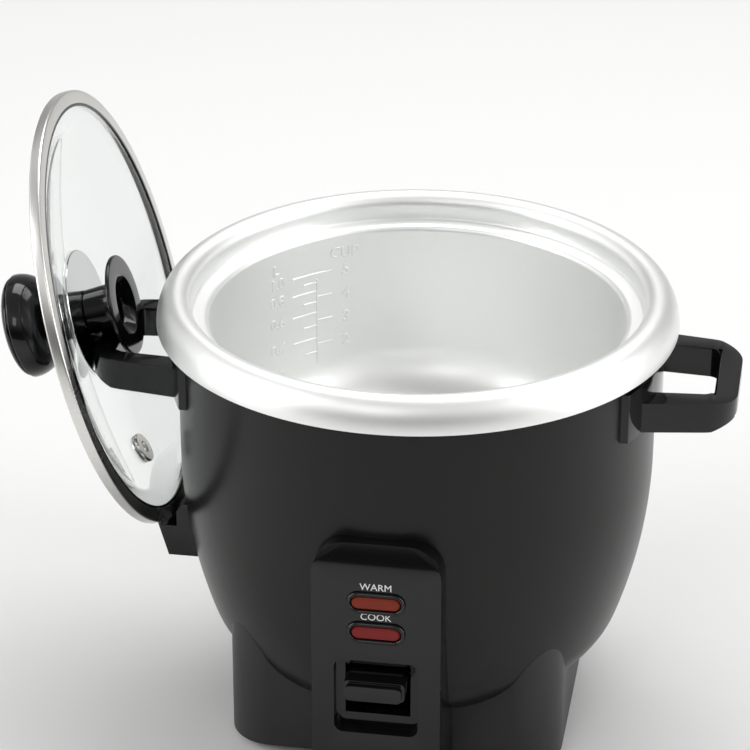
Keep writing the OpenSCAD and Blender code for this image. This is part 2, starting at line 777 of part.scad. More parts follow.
module thermal_fuse() {
    color([0.9, 0.9, 0.88]) translate([-40, -14, liner_under_z - 2.4]) rotate([-90, 0, 0]) {
        cylinder(r = 2.4, h = 28);
        translate([0, 0, -8]) cylinder(r = 0.8, h = 44);
    }
}

module terminal_block() {
    color([0.88, 0.87, 0.83]) difference() {
        translate([-20, 22, foot_h]) cube([40, 14, 12]);
        for (x = [-13, 0, 13]) translate([x, 29, floor_top_z]) cylinder(r = 2.5, h = 20);
    }
}

module wiring() {
    r = 1.3;
    low = floor_top_z + 5;
    top = liner_under_z - 12;
    lap = 0.7;
    color([0.75, 0.2, 0.15]) for (s = [-1, 1]) {
        // from the inlet pin to the terminal block
        rod_between([s * 7, inlet_back - 4.9, inlet_z - 0.4], [s * 13, 37, low], r);
        // from the block up to the heater's end
        rod_between([s * 13, 29, low + 5], [s * 13, 29, low + 14 + lap], r);
        rod_between([s * 13, 29, low + 14], [s * 12.9, 48, top - 8], r);
        rod_between([s * 12.9, 48, top - 8 - lap], [s * 12.9, 48.3, top + 2], r);
    }
}

module power_inlet() {
    color([0.06, 0.06, 0.06]) difference() {
        union() {
            along_y(inlet_back, inlet_front) translate([0, inlet_z]) rounded(2 * inlet_half, inlet_h, 2);
            along_y(base_half, inlet_front) translate([0, inlet_z])
                rounded(2 * inlet_half + 6, inlet_h + 3, 3);
        }
        along_y(inlet_front - socket_depth, inlet_front + 1) translate([0, inlet_z])
            rounded(2 * inlet_half - 5, inlet_h - 4, 1.5);
        for (x = [-7, 0, 7]) translate([x, inlet_back - 1, inlet_z]) rotate([-90, 0, 0])
            cylinder(r = contact_r, h = 20);
    }
}

module inlet_pins() {
    color([0.78, 0.72, 0.5]) for (x = [-7, 0, 7]) translate([x, inlet_back - 3, inlet_z]) rotate([-90, 0, 0])
        cylinder(r = contact_r, h = inlet_front - inlet_back - 1);
}

// ---- Handles and lid bracket ----

// Outline of a handle seen from above, narrowing from its root to its rounded tip
module handle_outline(root, end, corner, tip) {
    hull() {
        translate([body_r - 12, -root]) square([1, 2 * root]);
        for (s = [-1, 1]) translate([tip - corner, s * (end - corner)]) circle(corner, $fn = 48);
    }
}

module handle() {
    root = handle_w / 2;
    opening = handle_end - arm_end;
    color([0.05, 0.05, 0.05]) difference() {
        union() {
            translate([0, 0, handle_low_z]) linear_extrude(handle_h) difference() {
                handle_outline(root, handle_end, 16, handle_tip);
                handle_outline(root - arm_root, opening, 5, handle_in);
            }
            // root pad that follows the drum
            intersection() {
                difference() {
                    cylinder(r = body_r + pad_t, h = rim_z);
                    cylinder(r = body_r, h = rim_z);
                }
                translate([body_r / 2, -pad_half, handle_low_z])
                    cube([body_r, 2 * pad_half, pad_top_z - handle_low_z]);
            }
        }
        translate([0, 0, -1]) cylinder(r = body_r + seat_gap, h = rim_z + 2);
        // the bar's top slopes down and out, and its underside slopes up and out
        translate([handle_in, 0, handle_top_z]) rotate([0, bar_slope, 0]) translate([0, -60, 0])
            cube([60, 120, 20]);
        translate([handle_in, 0, handle_low_z]) rotate([0, -under_slope, 0]) translate([0, -60, -20])
            cube([60, 120, 20]);
        // bevels that let the hanging hub's flange and the lid's rim pass
        translate([handle_in, 0, handle_top_z]) rotate([0, 45, 0])
            cube([bar_bevel * sqrt(2), 2 * opening, bar_bevel * sqrt(2)], center = true);
        translate([handle_tip, 0, handle_low_z + handle_bar * tan(under_slope)]) rotate([0, 45, 0])
            cube([bar_bevel * sqrt(2), 2 * handle_w, bar_bevel * sqrt(2)], center = true);
        for (s = [-1, 1]) on_wall(s * handle_screw_a(), handle_screw_z) translate([0, 0, -5])
            cylinder(r = screw_r, h = handle_screw_l + 5);
    }
}

module right_handle() { handle(); }

module left_handle() { rotate(180) handle(); }

module handle_screws() {
    color([0.75, 0.75, 0.76]) for (a = [0, 180], s = [-1, 1])
        on_wall(a + s * handle_screw_a(), handle_screw_z) translate([0, 0, -shell_t - head_gap])
            screw(handle_screw_l + shell_t - 1);
}

module lid_bracket() {
    z = bracket_floor_z;
    lip = bracket_lip_x;
    back = lid_low[0] + (band_high - band_low) * cos(lid_tilt) + 1;
    color([0.06, 0.06, 0.06]) difference() {
        along_y(-bracket_half, bracket_half) polygon([
            [-body_r / 2, z + 11], [back + 2, z + 11], [back, z + 8], [back, z], [lip, z],
            [lip, z + bracket_lip_h], [lip - 1.8, z + bracket_lip_h], [lip + 3, z - bracket_h],
            [-body_r / 2, z - bracket_h]]);
        drum_solid(seat_gap);
        for (s = [-1, 1]) on_wall(180 + s * bracket_screw_a(), bracket_screw_z())
            translate([0, 0, -5]) cylinder(r = screw_r, h = 12);
    }
}

module bracket_screws() {
    color([0.75, 0.75, 0.76]) for (s = [-1, 1])
        on_wall(180 + s * bracket_screw_a(), bracket_screw_z()) translate([0, 0, -shell_t - head_gap])
            screw(shell_t + 6);
}

// ---- Pot and lid ----

module cooking_pot() {
    color([0.86, 0.87, 0.87]) rotate_extrude()
        polygon(concat(pot_line(pot_t / 2), reverse(pot_line(-pot_t / 2))));
}

module lid_glass() {
    color([0.85, 0.92, 0.9, 0.35]) lid_frame() difference() {
        rotate_extrude() polygon(concat(glass_line(glass_t / 2), reverse(glass_line(-glass_t / 2))));
        translate([0, 0, glass_in - 5]) cylinder(r = 4, h = 15);
        vent_frame() translate([0, 0, -10]) cylinder(r = vent_r + fit_gap, h = 20);
    }
}

module lid_rim_band() {
    lip = 6;
    color([0.8, 0.8, 0.8]) lid_frame() rotate_extrude() polygon([
        [lid_r - lip, band_low], [lid_r - 0.6, band_low], [lid_r, band_low + 0.6],
        [lid_r, band_high - 0.6], [lid_r - 0.6, band_high], [lid_r - lip, band_high],
        [lid_r - lip, band_high - band_t + 0.03], [lid_r - band_t, band_high - band_t + 0.03],
        [lid_r - band_t, band_low + band_t - 0.03], [lid_r - lip, band_low + band_t - 0.03]]);
}

module rim_seal() {
    color([0.05, 0.05, 0.05]) lid_frame() rotate_extrude()
        translate([lid_r - 7.3, band_low]) square([1.2, band_t - 0.03]);
}

module stem_collar() {
    edge = 0.6;
    color([0.05, 0.05, 0.05]) lid_frame() rotate_extrude() polygon(concat(
        [for (i = [0 : 4]) let (r = screw_r + 0.2 + (stem_foot_r - screw_r - 0.2) * i / 4)
            [r, dome_at(r) + seat_gap]],
        [[stem_foot_r, stem_foot_top - edge], [stem_foot_r - edge, stem_foot_top],
         [screw_r + 0.2, stem_foot_top]]));
}

module lid_knob() {
    color([0.05, 0.05, 0.05]) lid_frame() rotate_extrude() polygon(concat(
        [[0, lid_screw_top + 1], [screw_r, lid_screw_top + 1], [screw_r, stem_foot_top],
         [neck_r, stem_foot_top]],
        oval_arc([neck_r, knob_wide], knob_r - neck_r, knob_wide - knob_low, -90, 0),
        [[knob_r, knob_wide + 0.6], [knob_r - 0.8, knob_wide + 1.2], [0, knob_wide + 1.2]]));
}

module knob_cap() {
    color([0.05, 0.05, 0.05]) lid_frame() rotate_extrude() polygon(concat(
        [[0, knob_wide + 1.2], [knob_r - 1.4, knob_wide + 1.2]],
        oval_arc([0, knob_wide + 1.6], knob_r - 0.9, knob_top - knob_wide - 1.6, 0, 90)));
}

module hanging_hub() {
    color([0.05, 0.05, 0.05]) lid_frame() rotate_extrude() polygon([
        [screw_r + 0.2, hub_top], [hub_neck_r, hub_top], [hub_r, flange_high],
        [flange_r - 0.6, flange_high], [flange_r, flange_high - 0.6], [flange_r, flange_low + 0.6],
        [flange_r - 0.6, flange_low], [mouth_r, flange_low], [hub_bore_r, flange_high + 2.5],
        [hub_bore_r - 0.6, hub_top - hub_wall], [screw_r + 0.2, hub_top - hub_wall]]);
}

module hub_disc() {
    color([0.75, 0.75, 0.76]) lid_frame() difference() {
        translate([0, 0, disc_low]) cylinder(r = disc_r, h = disc_t);
        translate([0, 0, disc_low - 1]) cylinder(r = screw_r + 0.2, h = 5);
    }
}

module hub_washer() {
    color([0.6, 0.6, 0.58]) lid_frame() difference() {
        translate([0, 0, disc_low + disc_t]) cylinder(r = hub_neck_r, h = glass_in - disc_low - disc_t - 0.3);
        translate([0, 0, disc_low]) cylinder(r = screw_r + 0.2, h = 5);
    }
}

module lid_screw() {
    color([0.75, 0.75, 0.76]) lid_frame() translate([0, 0, hub_top - hub_wall])
        screw(lid_screw_top - hub_top + hub_wall, head_r = 4, head_h = 2.6);
}

module vent_grommet() {
    half = glass_t / 2;
    color([0.7, 0.7, 0.7]) lid_frame() vent_frame() rotate_extrude() polygon([
        [vent_bore_r, -half - 1.3], [vent_r + 2, -half - 1.3], [vent_r + 2.4, -half - 0.5],
        [vent_r + 2.4, -half - 0.15], [vent_r, -half - 0.15], [vent_r, half + 0.15],
        [vent_r + 2.4, half + 0.15], [vent_r + 2.4, half + 0.5], [vent_r + 2, half + 1.3],
        [vent_bore_r, half + 1.3]]);
}

outer_shell();
inner_liner();
base_housing();
bottom_cover();
rubber_feet();
base_screws();
base_nuts();
cover_screws();
control_panel();
panel_screws();
lens_bezels();
warm_lens();
cook_lens();
lamp_holder();
neon_lamps();
cook_lever();
lever_pin();
lever_bracket();
heating_plate();
heating_element();
plate_posts();
plate_screws();
thermostat_can();
can_screws();
sensor_cap();
ferrite_disc();
sensor_spring();
magnet();
thermostat_rod();
rod_spring();
microswitch();
keep_warm_heater();
thermal_fuse();
terminal_block();
wiring();
power_inlet();
inlet_pins();
left_handle();
right_handle();
handle_screws();
lid_bracket();
bracket_screws();
cooking_pot();
lid_glass();
lid_rim_band();
rim_seal();
stem_collar();
lid_knob();
knob_cap();
hanging_hub();
hub_disc();
hub_washer();
lid_screw();
vent_grommet();
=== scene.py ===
"""The looks of a rice cooker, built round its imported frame."""

import json
import logging
import math
from dataclasses import dataclass, field
from enum import Enum
from typing import Callable, Iterable, Optional, Sequence

import bmesh
import bpy
from mathutils import Matrix, Vector


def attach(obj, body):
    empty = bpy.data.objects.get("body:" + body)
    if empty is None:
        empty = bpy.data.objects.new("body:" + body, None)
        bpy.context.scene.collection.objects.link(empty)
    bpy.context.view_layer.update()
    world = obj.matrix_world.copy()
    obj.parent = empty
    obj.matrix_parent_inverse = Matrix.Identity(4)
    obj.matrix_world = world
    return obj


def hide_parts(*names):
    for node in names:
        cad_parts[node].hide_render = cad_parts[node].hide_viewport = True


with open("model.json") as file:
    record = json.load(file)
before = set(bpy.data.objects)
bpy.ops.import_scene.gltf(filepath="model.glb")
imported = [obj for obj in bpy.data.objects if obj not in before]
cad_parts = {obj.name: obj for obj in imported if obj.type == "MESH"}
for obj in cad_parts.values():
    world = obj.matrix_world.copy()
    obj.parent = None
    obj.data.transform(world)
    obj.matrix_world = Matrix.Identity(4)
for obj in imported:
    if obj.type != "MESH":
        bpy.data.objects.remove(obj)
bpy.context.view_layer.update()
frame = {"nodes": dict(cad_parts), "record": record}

LOG = logging.getLogger("rice_cooker")
MM = 0.001
Point2 = tuple[float, float]
Colour = tuple[float, float, float]
MIX_A, MIX_B, MIX_RESULT = 6, 7, 2  # a Mix node's colour sockets
DUST_COLOUR = (0.5, 0.49, 0.47, 1.0)
IMAGE_WIDTH = 750.0
SENSOR_WIDTH = 36.0
LINER_FLOOR = 84.45
KNOB_WAIST, KNOB_WIDEST = 8.5, 21.5  # heights over the stem's foot


# ---------------------------------------------------------------- sizes


@dataclass(frozen=True)
class Sizes:
    """The cooker's main sizes, in millimetres, as its part was made.

    Attributes:
        pot_r: inner radius of the cooking pot; pot_* and the lines after it are its other sizes.
        pot_depth: from the skirt's edge down to the pot's floor.
        rim_z: height of the pot's skirt edge above the table.
        body_r: outer radius of the drum; shell_*, liner_* and drum_* shape it.
        lid_tilt: how far the parked lid leans, in degrees.
        lid_turn: how far it is turned about the upright, in degrees.
        face_y: the control panel's front face.
        cook_z: height of the lower lens's middle.
    """

    pot_r: float = 91.0
    pot_depth: float = 81.0
    pot_t: float = 1.5
    pot_corner_r: float = 22.0
    ledge_w: float = 8.0
    recess_depth: float = 12.0
    skirt_w: float = 15.0
    skirt_h: float = 14.0
    rim_z: float = 185.0
    body_r: float = 105.0
    shell_t: float = 1.2
    liner_r: float = 96.0
    liner_t: float = 0.8
    drum_r: float = 230.0
    drum_angle: float = 19.0
    heel_r: float = 35.0
    bowl_z: float = 26.0
    opening_r: float = 48.0
    glass_t: float = 4.0
    dome_rise: float = 17.5
    rim_mid: float = 1.0
    rim_flat: float = 6.0
    rim_fillet: float = 20.0
    lid_clear: float = 1.4
    lid_tilt: float = 15.8
    lid_turn: float = 2.5
    hub_r: float = 11.2
    hub_neck_r: float = 10.0
    flange_r: float = 22.5
    flange_t: float = 2.0
    flange_high: float = -1.6
    mouth_r: float = 13.4
    disc_r: float = 28.3
    disc_t: float = 0.7
    neck_r: float = 11.0
    knob_r: float = 23.4
    vent_pos: float = 66.0
    vent_r: float = 4.5
    vent_bore_r: float = 2.8
    vent_turn: float = 192.0
    handle_tip: float = 141.5
    handle_bar: float = 10.1
    handle_drop: float = 17.0
    face_y: float = -114.0
    panel_wall: float = 2.5
    cook_z: float = 91.15
    lens_pitch: float = 14.4
    lens_w: float = 21.0
    lens_h: float = 6.0

    @property
    def recess_r(self) -> float:
        """Radius of the recess that takes the lid."""
        return self.pot_r + self.ledge_w

    @property
    def skirt_r(self) -> float:
        """Radius of the pot's rolled rim."""
        return self.recess_r + self.skirt_w

    @property
    def crest_z(self) -> float:
        """Height of the rim's crest."""
        return self.rim_z + self.skirt_h

    @property
    def ledge_z(self) -> float:
        """Height of the ledge for the lid."""
        return self.crest_z - self.recess_depth

    @property
    def floor_z(self) -> float:
        """Height of the pot's floor, inside."""
        return self.rim_z - self.pot_depth

    @property
    def lid_r(self) -> float:
        """Radius of the lid's band."""
        return self.recess_r - self.lid_clear

    @property
    def glass_edge(self) -> float:
        """Radius of the glass."""
        return self.lid_r - 1.6

    @property
    def bend_r(self) -> float:
        """Radius where the dome meets the flat rim."""
        return self.glass_edge - self.rim_flat

    @property
    def dome_r(self) -> float:
        """Radius of the dome's middle surface."""
        rise = self.dome_rise
        return (self.bend_r**2 + rise**2) / (2 * rise) - self.rim_fillet

    @property
    def dome_top(self) -> float:
        """Height of the dome's middle surface over the rim plane."""
        return self.rim_mid + self.dome_rise

    def dome_at(self, r: float, offset: float) -> float:
        """Height of the dome at a radius.

        Args:
            r: distance from the lid's axis.
            offset: distance outside the middle surface.

        Returns:
            The height over the lid's rim plane.
        """
        return self.dome_top - self.dome_r + math.sqrt((self.dome_r + offset) ** 2 - r * r)

    @property
    def disc_low(self) -> float:
        """Height of the polished disc's inner face."""
        return self.dome_at(self.disc_r, -self.glass_t / 2) - 0.2 - self.disc_t

    @property
    def foot_top(self) -> float:
        """Height of the knob stem's foot over the rim plane."""
        return self.dome_top + self.glass_t / 2 + 2.0


SIZE = Sizes()


def lid_matrix() -> Matrix:
    """The parked lid's frame: local Z through the knob, local X up.

    Returns:
        The matrix from the lid's own frame to the row frame, in metres.
    """
    tilt = math.radians(SIZE.lid_tilt)
    handle_in = SIZE.handle_tip - SIZE.handle_bar
    hub_top = SIZE.disc_low - 0.05
    cone = math.atan((SIZE.hub_r - SIZE.hub_neck_r) / (hub_top - SIZE.flange_high))
    slope = tilt - cone
    x = -(handle_in + 2.6)
    inward = x + handle_in - SIZE.flange_high * math.cos(tilt) + SIZE.hub_r * math.sin(tilt)
    z = SIZE.rim_z - SIZE.handle_drop + 0.3 / math.cos(slope) + SIZE.flange_high * math.sin(tilt)
    z += SIZE.hub_r * math.cos(tilt) + inward * math.tan(slope)
    lean = Matrix.Rotation(-(math.pi / 2 + tilt), 4, "Y")
    turn = Matrix.Rotation(math.radians(SIZE.lid_turn), 4, "Z")
    return Matrix.Translation((x * MM, 0.0, z * MM)) @ turn @ lean


LID = lid_matrix()


# ---------------------------------------------------------------- outlines


def arc(centre: Point2, radius: float, start: float, end: float, steps: int = 16) -> list[Point2]:
    """Points along an arc.

    Args:
        centre: the arc's centre.
        radius: its radius.
        start: its first angle, in degrees.
        end: its last angle, in degrees.
        steps: how many pieces it has.

    Returns:
        The points, both ends included.
    """
    return oval_arc(centre, radius, radius, start, end, steps)


def oval_arc(
    centre: Point2, rx: float, ry: float, start: float, end: float, steps: int = 16
) -> list[Point2]:
    """Points along an elliptical arc.

    Args:
        centre: the ellipse's centre.
        rx: its half-width.
        ry: its half-height.
        start: its first angle, in degrees.
        end: its last angle, in degrees.
        steps: how many pieces it has.

    Returns:
        The points, both ends included.
    """
    angles = (math.radians(start + (end - start) * i / steps) for i in range(steps + 1))
    return [(centre[0] + rx * math.cos(a), centre[1] + ry * math.sin(a)) for a in angles]


def pot_line(d: float) -> list[Point2]:
    """The pot's section from its centre to the skirt's edge.

    Args:
        d: distance outside the middle of the wall.

    Returns:
        The (radius, height) points.
    """
    s = SIZE
    half = s.pot_t / 2
    mid = s.pot_r + half
    low, corner = s.floor_z - half, s.pot_corner_r + half
    ledge, wall = s.ledge_z - half, s.recess_r + half
    top, edge, lip = s.crest_z - half, s.skirt_r - half, 5.0
    return (
        [(0.0, low - d), (20.0, low - d), (45.0, low - d)]
        + arc((mid - corner, low + corner), corner + d, -90, 0, 24)
        + arc((mid + 2, ledge - 2), 2 - d, 180, 90, 10)
        + arc((wall - 2, ledge + 2), 2 + d, -90, 0, 10)
        + arc((wall + lip, top - lip), lip - d, 180, 90, 16)
        + oval_arc((wall + lip, s.rim_z), edge - wall - lip - d, top - s.rim_z - d, 87, 0, 28)
    )


def shell_line(d: float) -> list[Point2]:
    """The shell's section from its underside hole to its top edge.

    Args:
        d: distance outside the middle of the wall.

    Returns:
        The (radius, height) points.
    """
    s = SIZE
    half, turn = s.shell_t / 2, math.radians(s.drum_angle)
    heel = (s.body_r - s.drum_r + (s.drum_r - s.heel_r) * math.cos(turn), s.bowl_z + s.heel_r)
    turn_z = heel[1] + (s.drum_r - s.heel_r) * math.sin(turn)
    drum = arc((s.body_r - s.drum_r, turn_z), s.drum_r - half + d, -s.drum_angle, 0, 24)
    top_z = s.rim_z - 1
    wall = [(s.body_r - half + d, turn_z + (top_z - turn_z) * k / 6) for k in range(1, 7)]
    under = arc(heel, s.heel_r - half + d, -90, -s.drum_angle, 24)
    return [(s.opening_r, s.bowl_z + half - d)] + under + drum + wall


def liner_line(d: float) -> list[Point2]:
    """The liner's section from its central hole to its flange.

    Args:
        d: distance outside the middle of the wall.

    Returns:
        The (radius, height) points.
    """
    s = SIZE
    low_z = LINER_FLOOR - s.liner_t / 2
    mid, top = s.liner_r + s.liner_t / 2, s.rim_z - 1 + s.liner_t / 2
    return (
        [(18.5, low_z - d)]
        + arc((mid - 8, low_z + 8), 8 + d, -90, 0, 12)
        + arc((mid + 2, top - 2), 2 - d, 180, 90, 8)
        + [(s.body_r - 0.3, top - d)]
    )


def glass_line(d: float) -> list[Point2]:
    """The lid glass's section from its hole to its edge, in the lid's frame.

    Args:
        d: distance outside the middle of the glass.

    Returns:
        The (radius, height) points.
    """
    s = SIZE
    bend = math.asin(s.bend_r / (s.dome_r + s.rim_fillet))
    dome = [bend * i / 40 for i in range(2, 41)]
    rim = [bend * (1 - i / 10) for i in range(1, 11)]
    points = [(4.0, s.dome_at(4.0, d))]
    points += [
        ((s.dome_r + d) * math.sin(a), s.dome_top - s.dome_r + (s.dome_r + d) * math.cos(a)) for a in dome
    ]
    fillet = s.rim_fillet - d
    points += [
        (s.bend_r - fillet * math.sin(a), s.rim_mid + s.rim_fillet - fillet * math.cos(a)) for a in rim
    ]
    return points + [(s.glass_edge, s.rim_mid + d)]


def wall_section(line: Callable[[float], list[Point2]], thickness: float) -> list[Point2]:
    """A closed section round a wall's middle line.

    Args:
        line: gives the wall's line at a distance outside its middle.
        thickness: the wall's thickness.

    Returns:
        The closed section, its first point repeated at its end.
    """
    outer, inner = line(thickness / 2), line(-thickness / 2)
    return outer + inner[::-1] + outer[:1]


def soften(points: Sequence[Point2], radius: float, steps: int = 4) -> list[Point2]:
    """Rounds the corners of an open outline.

    Args:
        points: the outline.
        radius: how far from each corner the rounding starts, at most.
        steps: how many pieces each rounded corner has.

    Returns:
        The outline with each inner corner replaced by a short curve.
    """
    out = [points[0]]
    for before, here, after in zip(points, points[1:], points[2:]):
        a, b, c = Vector(before), Vector(here), Vector(after)
        reach_in = min(radius, (a - b).length * 0.45)
        reach_out = min(radius, (c - b).length * 0.45)
        start, end = b + (a - b).normalized() * reach_in, b + (c - b).normalized() * reach_out
        for k in range(steps + 1):
            t = k / steps
            p = start * (1 - t) ** 2 + b * 2 * t * (1 - t) + end * t * t
            out.append((p.x, p.y))
    out.append(points[-1])
    return out


def stadium(width: float, height: float, steps: int = 12) -> list[Point2]:
    """A stadium outline, anticlockwise.

    Args:
        width: overall width.
        height: overall height.
        steps: how many pieces each round end has.

    Returns:
        The outline's points.
    """
    r, c = height / 2, (width - height) / 2
    return arc((c, 0.0), r, -90, 90, steps) + arc((-c, 0.0), r, 90, 270, steps)


# ---------------------------------------------------------------- node trees


class Tree:
    """A node tree under construction."""

    def __init__(self, tree: bpy.types.NodeTree) -> None:
        """Starts on an empty tree.

        Args:
            tree: the tree to fill.
        """
        self.tree = tree
        self.tree.nodes.clear()

    @classmethod
    def geometry(cls, name: str) -> "Tree":
        """Starts a geometry tree.

        Args:
            name: the tree's name.

        Returns:
            The new tree.
        """
        return cls(bpy.data.node_groups.new(name, "GeometryNodeTree"))

    @classmethod
    def shading(cls, name: str) -> "Tree":
        """Starts a shader group.

        Args:
            name: the group's name.

        Returns:
            The new tree.
        """
        return cls(bpy.data.node_groups.new(name, "ShaderNodeTree"))

    def give(self, name: str, kind: str, default: Optional[float] = None) -> None:
        """Adds a named input to the tree's interface."""
        socket = self.tree.interface.new_socket(name, in_out="INPUT", socket_type=kind)
        if default is not None:
            socket.default_value = default

    def put_out(self, name: str, kind: str) -> None:
        """Adds a named output to the tree's interface."""
        self.tree.interface.new_socket(name, in_out="OUTPUT", socket_type=kind)

    def node(self, kind: str, **values: object) -> bpy.types.Node:
        """Adds a node.

        Args:
            kind: the node's type.
            values: node properties to set.

        Returns:
            The node.
        """
        made = self.tree.nodes.new(kind)
        for key, value in values.items():
            setattr(made, key, value)
        return made

    def link(self, source: bpy.types.NodeSocket, target: bpy.types.NodeSocket) -> None:
        """Joins an output to an input."""
        self.tree.links.new(source, target)

    def feed(self, target: bpy.types.NodeSocket, value: object) -> None:
        """Sets an input to a number, or joins it to an output."""
        if isinstance(value, bpy.types.NodeSocket):
            self.link(value, target)
        else:
            target.default_value = value

    def maths(self, operation: str, *values: object) -> bpy.types.NodeSocket:
        """Adds a Math node.

        Args:
            operation: the node's operation.
            values: numbers or outputs for its inputs.

        Returns:
            The node's output.
        """
        made = self.node("ShaderNodeMath", operation=operation)
        for socket, value in zip(made.inputs, values):
            self.feed(socket, value)
        return made.outputs[0]

    def vector(self, x: object, y: object, z: object) -> bpy.types.NodeSocket:
        """Adds a Combine XYZ node and returns its output."""
        made = self.node("ShaderNodeCombineXYZ")
        for socket, value in zip(made.inputs, (x, y, z)):
            self.feed(socket, value)
        return made.outputs[0]

    def parts(self, vector: bpy.types.NodeSocket) -> list[bpy.types.NodeSocket]:
        """Adds a Separate XYZ node and returns its three outputs."""
        made = self.node("ShaderNodeSeparateXYZ")
        self.link(vector, made.inputs[0])
        return list(made.outputs)


# ---------------------------------------------------------------- making meshes


def link_object(name: str, mesh: bpy.types.Mesh) -> bpy.types.Object:
    """Puts a mesh in the scene at the origin.

    Args:
        name: the piece's name.
        mesh: its mesh.

    Returns:
        The new object.
    """
    made = bpy.data.objects.new(name, mesh)
    bpy.context.scene.collection.objects.link(made)
    return made


def mesh_from(
    name: str, points: Iterable[Sequence[float]], edges: Sequence = (), faces: Sequence = ()
) -> bpy.types.Mesh:
    """Makes a mesh from lists, in metres.

    Args:
        name: the mesh's name.
        points: its vertices.
        edges: its loose edges.
        faces: its faces.

    Returns:
        The mesh.
    """
    mesh = bpy.data.meshes.new(name)
    mesh.from_pydata([tuple(p) for p in points], list(edges), list(faces))
    mesh.update()
    return mesh


def smooth(piece: bpy.types.Object, angle: float = 30.0) -> bpy.types.Object:
    """Shades a piece smooth, with its sharper edges kept.

    Args:
        piece: the piece.
        angle: edges sharper than this many degrees stay hard.

    Returns:
        The piece.
    """
    work = bmesh.new()
    work.from_mesh(piece.data)
    limit = math.radians(angle)
    for face in work.faces:
        face.smooth = True
    for edge in work.edges:
        edge.smooth = len(edge.link_faces) == 2 and edge.calc_face_angle(0.0) < limit
    work.to_mesh(piece.data)
    work.free()
    return piece


def grow(
    name: str,
    seed: bpy.types.Mesh,
    tree: bpy.types.NodeTree,
    material: bpy.types.Material,
    **inputs: object,
) -> bpy.types.Object:
    """Runs a geometry tree on a mesh and keeps the result as a plain mesh.

    Args:
        name: the piece's name.
        seed: the mesh that the tree starts from.
        tree: the geometry tree.
        material: the material that the tree sets.
        inputs: the tree's named inputs, with spaces as underscores.

    Returns:
        The finished piece, at the origin.
    """
    holder = link_object(name + "_seed", seed)
    modifier = holder.modifiers.new("grow", "NODES")
    modifier.node_group = tree
    sockets = {
        item.name: item.identifier
        for item in tree.interface.items_tree
        if item.item_type == "SOCKET" and item.in_out == "INPUT"
    }
    modifier[sockets["Material"]] = material
    for key, value in inputs.items():
        modifier[sockets[key.replace("_", " ")]] = value
    bpy.context.view_layer.update()
    result = holder.evaluated_get(bpy.context.evaluated_depsgraph_get())
    mesh = bpy.data.meshes.new_from_object(result)
    mesh.name = name
    holder.modifiers.remove(modifier)
    bpy.data.objects.remove(holder)
    if not mesh.materials:
        mesh.materials.append(material)
    return link_object(name, mesh)


